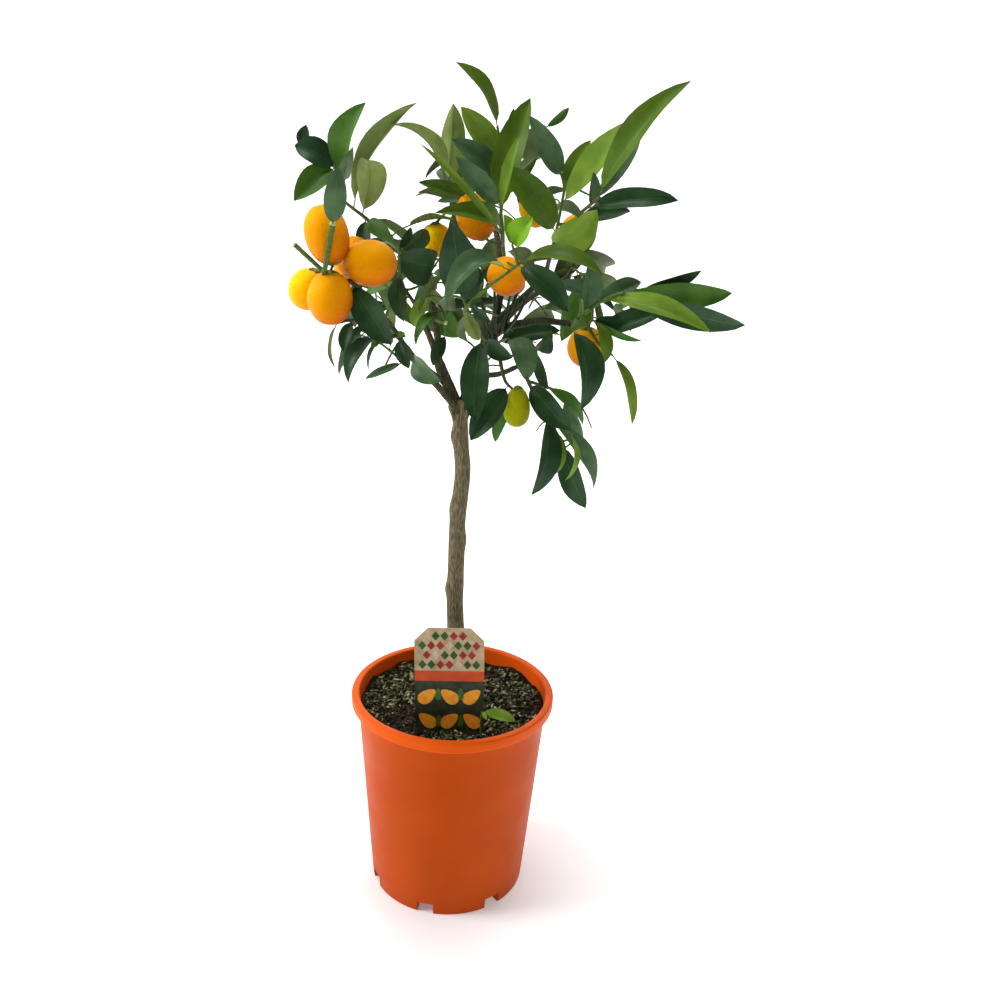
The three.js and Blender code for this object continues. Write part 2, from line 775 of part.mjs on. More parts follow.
function labelSolid(extra) {
  const half = labelWidth / 2 + extra;
  const height = labelTop - labelFoot;
  const shape = new THREE.Shape();
  shape.moveTo(-labelShoulder, -extra);
  shape.lineTo(labelShoulder, -extra);
  shape.lineTo(half, 30);
  shape.lineTo(half, height - labelChamfer);
  shape.lineTo(half - labelChamfer, height + extra);
  shape.lineTo(-half + labelChamfer, height + extra);
  shape.lineTo(-half, height - labelChamfer);
  shape.lineTo(-half, 30);
  shape.closePath();
  const depth = labelThickness + 2 * extra;
  const geometry = new THREE.ExtrudeGeometry(shape, { depth, bevelEnabled: false });
  geometry.translate(0, 0, -depth / 2);
  geometry.rotateX(Math.PI / 2 - radians(labelLean));
  geometry.translate(0, labelY, labelFoot);
  return solidFromGeometry(geometry);
}

// Foliage

// Pieces that later pieces have to stay clear of
const placed = [];

function boxesMeet(a, b) {
  return [0, 1, 2].every((axis) => a.min[axis] - 1 < b.max[axis] && b.min[axis] - 1 < a.max[axis]);
}

function isClear(solid, mass, ownLeavesToo) {
  const box = solid.boundingBox();
  for (const other of placed) {
    const matters = other.mass !== mass || (ownLeavesToo && other.isLeaf);
    if (matters && boxesMeet(box, other.box) && solid.minGap(other.solid, 1) < leafClearance) {
      return false;
    }
  }
  return true;
}

function place(solid, mass, isLeaf) {
  placed.push({ solid, mass, isLeaf, box: solid.boundingBox() });
}

// A twig's straight pieces, so that what grows on it starts inside it
function straightPieces(points, stepsPerPoint) {
  const steps = (points.length - 1) * stepsPerPoint;
  const line = [];
  for (let k = 0; k <= steps; k += 1) {
    line.push(along(points, k / steps));
  }
  return line;
}

// A place on a twig, a little short of its end so that what starts there is sunk in it
function onLine(line, share) {
  const last = line.length - 1;
  const place = Math.min(share * last, last - endInset);
  const first = Math.floor(place);
  return line[first].clone().lerp(line[first + 1], place - first);
}

function growTwig(mass, points, startRadius, endRadius, sides) {
  const steps = (points.length - 1) * twigStepsPerPoint;
  const solid = taperedSolid(points, startRadius, endRadius, sides, steps);
  mass.twigPaths.push(straightPieces(points, twigStepsPerPoint));
  mass.parts.push(solid);
  place(solid, mass.name, false);
}

// The stem starts 0.3 mm past its bough's tip and has the same radius there
function startMass(plan) {
  const mass = {
    name: plan.name,
    plan,
    twigPaths: [],
    parts: [],
    leaves: new Set(),
    random: seededRandom(plan.seed),
  };
  const boughPoints = boughs[plan.bough][1];
  const tip = vector(boughPoints[boughPoints.length - 1]);
  const before = along(boughPoints, 0.95);
  const onward = tip.clone().sub(before).normalize();
  const start = tip.clone().addScaledVector(onward, stemStart);
  growTwig(mass, [start.toArray(), ...plan.stem], stemRadius, twigTipRadius, 4);
  for (const [parent, share, points] of plan.twigs) {
    const from = onLine(mass.twigPaths[parent], share).toArray();
    growTwig(mass, [from, ...points], twigRadius, twigTipRadius, 3);
  }
  return mass;
}

function growFruit(mass) {
  for (const [x, y, z, length, width, turn, lean, twig, share] of mass.plan.fruits) {
    const centre = new THREE.Vector3(x, y, z);
    const axis = direction(turn, lean);
    const from = onLine(mass.twigPaths[twig], share);
    const crown = centre.clone().addScaledVector(axis, -length * 0.35);
    const stalk = taperedSolid(
      [from.toArray(), crown.toArray()],
      fruitStalkRadius,
      fruitStalkRadius,
      3,
      1,
    );
    const fruit = fruitSolid(centre, axis, length, width);
    mass.parts.push(stalk, fruit);
    place(stalk, mass.name, false);
    place(fruit, mass.name, false);
  }
}

// A leaf from the list, turned a little where it would touch another mass or a limb
function growListedLeaves(mass) {
  const nudges = [0, 6, -6, 12, -12, 18, -18];
  for (const [twig, share, turn, lean, length, width, face, arch] of mass.plan.leaves) {
    const base = onLine(mass.twigPaths[twig], share);
    const tries = nudges.flatMap((a) => nudges.map((b) => [a, b]))
      .sort((p, q) => Math.hypot(...p) - Math.hypot(...q));
    for (const [turnMore, leanMore] of tries) {
      const axis = direction(turn + turnMore, lean + leanMore);
      const viewer = squareTo(axis, new THREE.Vector3(0, -1, 0));
      const upper = viewer.clone().applyAxisAngle(axis, radians(face));
      const solid = leafSolid(base, axis, upper, length, width, arch, leafStations);
      if (isClear(solid, mass.name, false)) {
        mass.parts.push(solid);
        mass.leaves.add(solid);
        place(solid, mass.name, true);
        break;
      }
    }
  }
}

function isInside(point, space, margin) {
  const [centre, radii] = space;
  const x = (point.x - centre[0]) / radii[0];
  const y = (point.y - centre[1]) / radii[1];
  const z = (point.z - centre[2]) / radii[2];
  return Math.hypot(x, y, z) < margin;
}

function nearestOnTwigs(mass, target) {
  let best = null;
  for (const line of mass.twigPaths) {
    for (let k = 2; k <= 10; k += 1) {
      const spot = onLine(line, k / 10);
      if (!best || spot.distanceTo(target) < best.distanceTo(target)) {
        best = spot;
      }
    }
  }
  return best;
}

// One sprig: a twig towards a point spread evenly in the space, with leaves round it
function growSprig(mass, index, count) {
  const [centre, radii] = mass.plan.space;
  const height = 1 - (2 * (index + 0.5)) / count;
  const turn = radians(goldenAngle * index + 40 * mass.random());
  const flat = Math.sqrt(1 - height * height);
  const reach = sprigReach + sprigReachSpread * mass.random();
  const target = new THREE.Vector3(
    centre[0] + radii[0] * reach * flat * Math.cos(turn),
    centre[1] + radii[1] * reach * flat * Math.sin(turn),
    centre[2] + radii[2] * reach * height,
  );
  const from = nearestOnTwigs(mass, target);
  const way = target.clone().sub(from);
  way.setLength(Math.max(18, Math.min(sprigLength, way.length())));
  const tip = from.clone().add(way);
  const middle = from.clone().addScaledVector(way, 0.5);
  middle.z += 0.08 * way.length();
  const points = [from.toArray(), middle.toArray(), tip.toArray()];
  const line = straightPieces(points, 1);
  const twig = taperedSolid(points, sprigRadius, twigTipRadius, 3, 2);
  if (!isClear(twig, mass.name, false)) {
    return;
  }
  mass.twigPaths.push(line);
  mass.parts.push(twig);
  place(twig, mass.name, false);
  growRuleLeaves(mass, line, way.clone().normalize(), centre);
}

function growRuleLeaves(mass, line, axis, centre) {
  const across = squareTo(axis, new THREE.Vector3(0, 0, 1));
  for (let k = 0; k < leavesPerSprig; k += 1) {
    const share = 0.3 + (0.7 * k) / (leavesPerSprig - 1);
    const base = onLine(line, share);
    const spread = radians(k === leavesPerSprig - 1 ? 12 : 58);
    const round = across.clone().applyAxisAngle(axis, radians(goldenAngle * k + 60 * mass.random()));
    const heading = axis.clone().multiplyScalar(Math.cos(spread))
      .addScaledVector(round, Math.sin(spread));
    heading.z -= 0.25;
    heading.normalize();
    const outward = base.clone().sub(vector(centre)).normalize();
    const upper = new THREE.Vector3(0, 0, 1).addScaledVector(outward, 0.8);
    const length = ruleLeafLength * (0.75 + 0.5 * mass.random());
    const width = length * ruleLeafWidth;
    const solid = leafSolid(base, heading, upper, length, width, leafArch, ruleLeafStations);
    const end = base.clone().addScaledVector(heading, length);
    if (isInside(end, mass.plan.space, leafTipMargin) && isClear(solid, mass.name, true)) {
      mass.parts.push(solid);
      mass.leaves.add(solid);
      place(solid, mass.name, true);
    }
  }
}

// A corner that rounding would merge with another one, or null
function twinCorner(solid) {
  const mesh = solid.getMesh();
  const corners = [];
  for (let k = 0; k < mesh.vertProperties.length; k += 3) {
    corners.push(vector(mesh.vertProperties.slice(k, k + 3)));
  }
  corners.sort((a, b) => a.x - b.x);
  return corners.find((corner, k) => {
    let next = k + 1;
    while (next < corners.length && corners[next].x - corner.x < twinDistance) {
      if (corners[next].distanceTo(corner) < twinDistance) {
        return true;
      }
      next += 1;
    }
    return false;
  }) || null;
}

function largestPiece(solid) {
  return solid.decompose().sort((a, b) => b.volume() - a.volume())[0];
}

// All parts of a mass as one solid, with sealed hollows filled and loose scraps dropped.
// A leaf that leaves corners too near each other, however the join is simplified, is dropped.
function joinMass(mass, limbs) {
  let parts = mass.parts;
  for (;;) {
    const joined = wasm.Manifold.union(parts).asOriginal();
    let twin = null;
    for (const tolerance of joinTolerances) {
      const whole = joined.simplify(tolerance).subtract(limbs).asOriginal();
      const piece = largestPiece(whole.simplify(cutTolerance));
      twin = twinCorner(piece);
      if (!twin) {
        return piece;
      }
    }
    const spare = parts.findLast((part) => mass.leaves.has(part) && isNear(part, twin));
    if (!spare) {
      throw new Error(`${mass.name} has corners too near each other`);
    }
    parts = parts.filter((part) => part !== spare);
  }
}

function isNear(solid, point) {
  const { min, max } = solid.boundingBox();
  return point.toArray().every((value, axis) => value > min[axis] - 1 && value < max[axis] + 1);
}

// The whole plant

function addMesh(group, name, solid, colour, roughness) {
  const material = new THREE.MeshStandardMaterial({ color: colour, roughness, metalness: 0 });
  const mesh = new THREE.Mesh(geometryFromSolid(solid), material);
  mesh.name = name;
  group.add(mesh);
}

const tree = new THREE.Group();
tree.name = 'potted_kumquat_tree';

const labelRoom = labelSolid(gap);
addMesh(tree, 'pot', potSolid(), colours.pot, 0.5);
addMesh(tree, 'soil', soilSolid(labelRoom), colours.soil, 0.95);
addMesh(tree, 'label', labelSolid(0), colours.label, 0.4);

const limbSolids = { trunk: trunkSolid(0) };
const fatLimbs = { trunk: trunkSolid(clearance) };
for (const [name, [parent, points, startRadius, endRadius]] of Object.entries(boughs)) {
  let bough = taperedSolid(points, startRadius, endRadius, boughSides, boughSteps);
  for (const fat of Object.values(fatLimbs)) {
    bough = bough.subtract(fat);
  }
  const pieces = bough.decompose().sort((a, b) => b.volume() - a.volume());
  limbSolids[name] = pieces[0];
  fatLimbs[name] = taperedSolid(points, startRadius, endRadius, boughSides, boughSteps, clearance);
}
for (const [name, solid] of Object.entries(limbSolids)) {
  addMesh(tree, name, solid, colours.bark, 0.9);
  place(solid, 'limbs', false);
}
const allLimbs = wasm.Manifold.union(Object.values(fatLimbs));

const grown = masses.map(startMass);
grown.forEach(growFruit);
grown.forEach(growListedLeaves);
for (const mass of grown) {
  for (let k = 0; k < mass.plan.sprigs; k += 1) {
    growSprig(mass, k, mass.plan.sprigs);
  }
}
for (const mass of grown) {
  addMesh(tree, mass.name, joinMass(mass, allLimbs), colours.leaf, 0.6);
}

export default tree;
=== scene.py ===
"""A kumquat tree in its nursery pot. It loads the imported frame, then dresses every node."""
import math
from collections import namedtuple

import bmesh
import bpy
from mathutils import Matrix, Vector, noise
from mathutils.bvhtree import BVHTree


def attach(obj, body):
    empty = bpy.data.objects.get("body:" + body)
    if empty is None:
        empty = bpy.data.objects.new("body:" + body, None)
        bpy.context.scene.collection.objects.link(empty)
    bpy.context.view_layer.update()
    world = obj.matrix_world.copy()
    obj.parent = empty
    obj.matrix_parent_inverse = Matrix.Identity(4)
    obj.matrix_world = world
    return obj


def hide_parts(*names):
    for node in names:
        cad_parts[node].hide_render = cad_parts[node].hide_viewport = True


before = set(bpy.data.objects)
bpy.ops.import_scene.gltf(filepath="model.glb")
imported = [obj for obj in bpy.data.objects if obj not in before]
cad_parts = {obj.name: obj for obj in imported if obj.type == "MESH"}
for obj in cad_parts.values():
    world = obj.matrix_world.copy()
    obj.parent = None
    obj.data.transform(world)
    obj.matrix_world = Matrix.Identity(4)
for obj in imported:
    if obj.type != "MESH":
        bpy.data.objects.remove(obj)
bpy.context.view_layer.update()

# Lengths are in millimetres and angles in degrees, where no comment says otherwise
MM = 0.001
ROOT = "root"
EAST = Vector((1, 0, 0))
BACK = Vector((0, 1, 0))
UP = Vector((0, 0, 1))
GOLDEN_ANGLE = 137.5

# Camera, fitted to the pot's rim and base and to the trunk
IMAGE_SIDE = 1000
FOCAL_PIXELS = 1050
SENSOR_WIDTH = 36
CAMERA_PLACE = (36, -877, 702)
CAMERA_PITCH = 19.5
CAMERA_ROLL = 2.71

# Floor and lights, in metres and watts: name, place, size and power
FLOOR_FRONT = -6
FLOOR_BEND = 6
FLOOR_CURVE = 3
FLOOR_TOP = 12
FLOOR_HALF_WIDTH = 12
FLOOR_STEPS = 24
GLOW_CENTRE = (-0.25, -0.2, 0)
GLOW_SCALE = 0.2
GLOW_STOPS = ((0.05, (0.16,) * 3), (0.11, (0.6,) * 3), (0.5, (0.9,) * 3))
LIT_POINT = (0, 0, 0.4)
LIGHTS = (
    ("key", (-2.3, -0.3, 1.8), 1.2, 54),
    ("top", (-0.3, 0.0, 2.9), 1.2, 36),
    ("fill", (2.4, -0.3, 1.0), 1.6, 5),
    ("back", (0.6, 2.2, 2.3), 1.8, 6),
)
WORLD_STRENGTH = 0.2

# Pot
POT_HEIGHT = 200
RIM_RADIUS = 95
BASE_RADIUS = 74
LIP_HEIGHT = 10.5
LIP_OVERHANG = 5.5
WALL = 1.8
LIP_ROUNDING = 2.0
FOOT_ROUNDING = 1
LIP_FILLET = 1.2
POT_SIDES = 168
WALL_STEPS = 12
INNER_STEPS = 8
CHANNEL_HEIGHT = 12
CHANNEL_INNER = 52
CHANNEL_OUTER = 66
CHANNEL_SLOPE = 2
NOTCH_COUNT = 7
NOTCH_WIDTH = 16
NOTCH_MARGIN = 4
FIRST_NOTCH_ANGLE = -13
SHARP_ANGLE = 35

# Soil and its litter
SOIL_LEVEL = 185
SOIL_ROUGHNESS = 4
SOIL_FLAT_RADIUS = 30
SOIL_GAP = 0.6
SOIL_SIDES = 120
SOIL_RINGS = 56
SOIL_SKIRT = (30, 12, 3)
MOSS_RISE = 3.5
MOSS_START = -75
MOSS_RAMP = 45
LITTER_COUNT = 5600
LITTER_MARGIN = 4
TRUNK_CLEARANCE = 14
BARE_PATCH = (-40, -40)
BARE_PATCH_RADIUS = 26
# Shares of the litter, added up: clods, chips where the soil is brown, moss, and crumbs for the rest
CLODS_UP_TO = 0.36
CHIPS_UP_TO = 0.92
MOSS_UP_TO = 0.8

# Label
LABEL_WIDTH = 62
LABEL_CHAMFER = 12
LABEL_TOP = 286
LABEL_FOOT = 150
LABEL_THICKNESS = 1
LABEL_Y = -52
LABEL_LEAN = 3
LABEL_TURN = 2
LABEL_X = 1.5
LABEL_FOOT_HALF = 20
LABEL_SHOULDER = 30
BAND_LOW = 85
BAND_HIGH = 95
PRINT_RISE = 0.08
MOTIF_RISE = 0.1
BAND_RISE = 0.12
# Motifs: rows of diamonds above the band, and rows of petals below it with small leaves between
DIAMOND_START = (-24, 101)
DIAMOND_STEP = (8, 9.2)
DIAMOND_SIZE = (3.7, 4.4)
DIAMOND_COLOURS = ("green", "red", "green", "cream", "red")
PETAL_START = (-20, 46)
PETAL_STEP = (20, 24)
PETAL_SIZE = (6.0, 9.5)
LEAF_MOTIF_PLACES = ((-10, 46), (-10, 72), (10, 46), (10, 72))
LEAF_MOTIF_SIZE = (2.6, 6.0)

# Seedling beside the label: its foot, its line, and turn, lean, length and width of its leaves
SEEDLING_FOOT = (29, -58)
SEEDLING_LINE = ((28, -60, 204), (29, -62, 214))
SEEDLING_LEAF_BASE = (29, -62, 213.5)
SEEDLING_LEAVES = ((-14, 0, 31, 11), (-40, 50, 9, 4))

# Trunk and boughs: a bough is its points and its radius at both ends
TRUNK_PATH = (
    (3, 0, 185.3), (2, 0, 215), (1, 0, 255), (-1, 0, 292), (-1, 0, 337),
    (-1, 0, 371), (2, 0, 413), (0, 0, 440), (-3, 0, 482),
)
TRUNK_FOOT_RADIUS = 8.3
TRUNK_TIP_RADIUS = 6.6
TRUNK_SIDES = 48
TRUNK_STEPS = 230
FLARE_RADIUS = 4.5
FLARE_HEIGHT = 16
FLARE_LOBES = 3
FLARE_LOBE_DEPTH = 0.2
KNOT_REACH = 7
KNOTS = (
    (303, 190, 1.6), (352, 0, 1.5), (383, 185, 1.3), (448, 180, 2.2), (474, 175, 3.2), (250, 20, 1.2),
)
BOUGHS = {
    "bough_left": (((-4, 0, 476), (-20, -5, 507), (-21, -10, 529), (-27, -20, 566)), 3.9, 2.6),
    "bough_left_front": (((-2, -2, 470), (-19, -20, 495), (-40, -42, 524), (-50, -60, 546)), 3.2, 2),
    "bough_left_low": (((-2, -1, 452), (-14, -10, 493), (-27, -26, 511), (-38, -44, 525)), 2.2, 1.8),
    "bough_right": (((0, 0, 474), (21, 0, 534), (54, -20, 554), (86, -38, 557)), 4.4, 2.3),
    "bough_right_low": (((9, -1, 503), (30, -14, 508), (50, -33, 522)), 2.6, 1.8),
    "bough_hanging": (((15, -1, 518), (20, -16, 532), (26, -32, 541)), 2.6, 1.8),
    "bough_centre": (((20, -2, 530), (14, -26, 552), (8, -62, 563)), 3.4, 2.2),
    "bough_crest": (((20, 2, 528), (27, 6, 562), (30, 6, 602)), 4, 2.4),
    "bough_crest_right": (((25, 4, 548), (48, -4, 572), (64, -22, 592)), 3.2, 2),
    "bough_back_left": (((-3, 2, 474), (-24, 26, 512), (-45, 58, 548)), 4, 2.2),
    "bough_back_right": (((22, 2, 537), (44, 30, 558), (72, 62, 574)), 3.4, 2.2),
    "bough_back_top": (((28, 6, 580), (24, 26, 612), (16, 48, 636)), 3, 2),
    "bough_back_low": (((0, 2, 448), (6, 34, 484), (12, 66, 506)), 3.2, 2),
}
# Boughs in the crown's shade: their bark is darker as painted shade
DARK_BOUGHS = ("bough_right", "bough_right_low", "bough_crest", "bough_crest_right", "bough_centre")
BOUGH_SIDES = 16
BOUGH_STEPS = 48
BOUGH_COLLAR = 0.35
TRUNK_RELIEF = 0.03
BOUGH_RELIEF = 0.06
# Layers of the bark's relief: how fine across and along the limb, where it starts, and its depth
BARK_LAYERS = ((0.55, 0.07, 0, 0.9), (1.6, 0.5, 0, 0.35), (0.12, 0.06, 7, 0.9))

# Dark young stems that fan out of the fork behind the middle fruit, and stubs with a pale end
FAN_STEMS = (
    ((23, -2, 535), (18, -26, 556), (12, -42, 579), (15, -42, 597)),
    ((26, -3, 539), (25, -28, 560), (24, -42, 582), (26, -40, 600)),
    ((30, -5, 541), (34, -30, 562), (37, -44, 582)),
    ((34, -8, 543), (43, -32, 560), (50, -46, 579), (54, -42, 590)),
    ((31, -6, 542), (38, -22, 566), (43, -30, 582), (44, -30, 596)),
)
FAN_RADIUS = 1.5
STUBS = (((6, -47, 577), (19, -50, 578.5)), ((-22, -46, 557), (-13, -50, 555)))
STUB_RADIUS = 1.7

# Masses whose stem is young and green, and twigs that were cut back: mass, twig and radius
GREEN_STEMS = ("foliage_left_upper", "foliage_centre", "foliage_right", "foliage_crest")
GREEN_STEM_RADIUS = 1.6
CUT_TWIGS = {("foliage_left_fruit", 1): 2.1, ("foliage_left_fruit", 2): 1.7}

# Twigs, leaves and fruit, with the same rule and sizes as the solids
STEM_START = 0.4
STEM_RADIUS = 1.9
STEM_TIP_RADIUS = 1.0
STEM_SEAT = 6
TWIG_RADIUS = 1.3
TWIG_TIP_RADIUS = 0.8
TWIG_STEPS = 2
END_INSET = 0.09
SPRIG_LENGTH = 58
SPRIG_SHORTEST = 18
SPRIG_TURN_SPREAD = 40
SPRIG_RISE = 0.08
SPRIG_TEST_RADIUS = 1.5
SPRIG_REACH = 0.5
SPRIG_REACH_SPREAD = 0.25
LEAF_TIP_MARGIN = 1.3
FIRST_LEAF_SHARE = 0.3
LEAF_SPREAD = 58
LAST_LEAF_SPREAD = 12
LEAF_TURN_SPREAD = 60
LEAF_DROOP = 0.25
RULE_LEAF_WIDTH = 0.36
# Tones of the rule's leaves, mostly dark: partly painted shade inside the crown
RULE_TONES = "dddddmmgo"
LEAF_ARCH = 0.07
STALK_SHARE = 0.07
STALK_RADIUS = 0.65
LEAF_ROWS = 11
LEAF_COLUMNS = 4
LEAF_THICKNESS = 0.35
# How leaves differ: the least fold and wave with what chance adds, and the most twist, curl and bend
LEAF_FOLD, MORE_FOLD = 0.34, 0.30
LEAF_WAVE, MORE_WAVE = 0.05, 0.09
LEAF_TWIST = 24
LEAF_CURL = 0.05
LEAF_BEND = 0.05
RIB_WIDTH = 0.55
RIB_GROOVE = 0.25
# A plain leaf for the tests: places along it with its breadth there
TEST_LEAF = ((STALK_SHARE, 0), (0.35, 0.95), (0.55, 1), (0.78, 0.75), (1, 0))
# Places on a leaf and on a fruit, along and across, that nothing later may hide
LEAF_SIGHTS = (0.35, 0.55, 0.75)
FRUIT_SIGHTS = ((0, 0), (0.34, 0), (-0.34, 0), (0, 0.36), (0, -0.36))
# How far a listed leaf may turn, in degrees, to stay clear of its neighbours
NUDGES = (0, 6, -6, 12, -12, 18, -18)
TURN_WEIGHT = 1.6
FRUIT_RINGS = 26
FRUIT_SIDES = 32
GREEN_FRUIT_PEAR = 0.16
# Where a fruit's stalk ends and its calyx sits, and the calyx's radius, as shares of the fruit's size
FRUIT_STALK_END = 0.46
CALYX_PLACE = 0.475
CALYX_SHARE = 0.15
CALYX_SIDES = 30
# Section of a calyx: heights over its place with the share of its radius
CALYX_SECTION = ((-1.6, 0.45), (-0.9, 0.75), (-0.2, 1.0), (0.5, 1.02), (0.7, 0.5))

# Sprigs of the rule, then the finer ones that the solids don't have
Sprig = namedtuple("Sprig", "per_listed first_turn more_reach radius tip_radius leaves leaf_length")
MAIN_SPRIGS = Sprig(1, 0, 0, 1.1, 0.75, 6, 62)
FINE_SPRIGS = Sprig(1.6, 70, 0.12, 0.85, 0.55, 5, 54)

# Places in the crown's front where the background shows through: centre, half width, half height
OPENINGS = (
    ((-69, 0, 658), 16, 28), ((126, 0, 610), 30, 20), ((46, 0, 664), 8, 16),
    ((61, 0, 507), 10, 10), ((-54, 0, 478), 14, 12), ((43, 0, 556), 13, 7),
)
OPENING_RAYS = 8
BEHIND_CROWN = 1.3

# Leaf tones by letter: name, dark and light green, roughness and coat
# Painted light in the tones: dark also stands for leaves in shade, grey is a painted blue-grey sheen, and
# bright is a light yellow-green made lighter as painted glow of leaves lit from behind
TONES = {
    "d": ("dark", (0.008, 0.036, 0.010), (0.026, 0.074, 0.022), 0.42, 0.04),
    "m": ("mid", (0.034, 0.110, 0.008), (0.068, 0.175, 0.016), 0.5, 0.03),
    "o": ("olive", (0.054, 0.118, 0.004), (0.100, 0.180, 0.008), 0.5, 0.03),
    "g": ("grey", (0.034, 0.086, 0.030), (0.084, 0.165, 0.064), 0.45, 0.06),
    "b": ("bright", (0.115, 0.215, 0.012), (0.195, 0.315, 0.028), 0.5, 0.05),
    "y": ("young", (0.13, 0.32, 0.004), (0.22, 0.45, 0.010), 0.5, 0.05),
}
UNDERSIDES = {
    "leaf_undersides": ((0.16, 0.235, 0.05), (0.27, 0.35, 0.10), 0.55, 0.05),
    "shaded_undersides": ((0.05, 0.085, 0.02), (0.10, 0.15, 0.04), 0.55, 0.05),
}
# Fruit skins by letter: name, and the deeper and the brighter colour, which are painted shade and painted
# light; then the way that the painted light comes from
SKINS = {
    "o": ("orange", (0.48, 0.095, 0.001), (0.98, 0.40, 0.002)),
    "a": ("amber", (0.40, 0.078, 0.001), (0.96, 0.37, 0.002)),
    "y": ("yellow", (0.74, 0.26, 0.002), (0.98, 0.60, 0.003)),
    "g": ("green", (0.19, 0.22, 0.003), (0.42, 0.43, 0.007)),
}
PAINTED_LIGHT_SIDE = (-0.45, -0.15, 0.88)
# Bark and plastic: dark, middle and light colour
BARKS = {
    "bark": ((0.066, 0.051, 0.025), (0.152, 0.123, 0.069), (0.26, 0.218, 0.138)),
    "bough_bark": ((0.022, 0.019, 0.008), (0.055, 0.048, 0.022), (0.12, 0.11, 0.05)),
    # Bark of the boughs in shade: darker as painted shade, with the green tint of young bark
    "young_bark_in_shade": ((0.012, 0.018, 0.007), (0.034, 0.042, 0.017), (0.085, 0.090, 0.038)),
    "twig_bark": ((0.028, 0.024, 0.012), (0.07, 0.06, 0.03), (0.14, 0.12, 0.07)),
}
PLASTICS = {
    "pot_plastic": ((0.48, 0.058, 0.002), (0.56, 0.072, 0.003), (0.62, 0.086, 0.004)),
    # Lip and inside: lighter than the wall as painted light
    "lit_rim_plastic": ((0.72, 0.085, 0.004), (0.82, 0.105, 0.006), (0.88, 0.125, 0.008)),
}
# Side veins of a leaf: how many, and how far they slope towards the tip
VEIN_COUNT = 75
VEIN_SLOPE = 0.36
PORE_SCALE = 620
SOIL_BASE = (0.03, 0.027, 0.014)
SOIL_COLOURS = ((0.35, (0.006, 0.005, 0.003)), (0.5, (0.018, 0.014, 0.008)), (0.68, (0.03, 0.034, 0.012)))
# Mottled materials: dark and light colour, roughness, how fine the mottling is, and its bump
MOTTLES = {
    "leaf_ribs": ((0.09, 0.15, 0.035), (0.16, 0.23, 0.07), 0.5, 300, 0.2),
    "leaf_stalks": ((0.04, 0.085, 0.012), (0.10, 0.16, 0.025), 0.45, 400, 0.2),
    "young_stems": ((0.006, 0.012, 0.004), (0.022, 0.036, 0.012), 0.6, 300, 0.2),
    "cut_wood": ((0.30, 0.32, 0.14), (0.50, 0.50, 0.28), 0.7, 500, 0.2),
    "calyx": ((0.10, 0.16, 0.02), (0.24, 0.30, 0.05), 0.5, 500, 0.2),
    "soil_clods": ((0.004, 0.003, 0.002), (0.022, 0.016, 0.010), 0.95, 160, 0.6),
    "bark_chips": ((0.025, 0.015, 0.006), (0.09, 0.055, 0.024), 0.9, 200, 0.5),
    "soil_moss": ((0.03, 0.045, 0.010), (0.15, 0.17, 0.06), 0.9, 240, 0.8),
    "soil_crumbs": ((0.18, 0.18, 0.09), (0.46, 0.44, 0.27), 0.9, 240, 0.8),
    "label_card": ((0.42, 0.33, 0.24), (0.52, 0.43, 0.33), 0.45, 120, 0.1),
    "label_sage": ((0.34, 0.25, 0.13), (0.56, 0.42, 0.25), 0.45, 140, 0.1),
    "label_dark": ((0.010, 0.022, 0.008), (0.035, 0.05, 0.025), 0.4, 140, 0.1),
    "label_band": ((0.50, 0.055, 0.006), (0.60, 0.075, 0.010), 0.4, 90, 0.1),
    "motif_cream": ((0.45, 0.36, 0.25), (0.60, 0.50, 0.38), 0.45, 200, 0.1),
    "motif_red": ((0.22, 0.012, 0.010), (0.38, 0.030, 0.022), 0.45, 200, 0.1),
    "motif_green": ((0.010, 0.040, 0.006), (0.040, 0.12, 0.018), 0.45, 200, 0.1),
    "motif_orange": ((0.85, 0.27, 0.010), (1.0, 0.50, 0.04), 0.4, 200, 0.1),
    "motif_leaf": ((0.030, 0.10, 0.015), (0.075, 0.19, 0.035), 0.4, 200, 0.1),
}

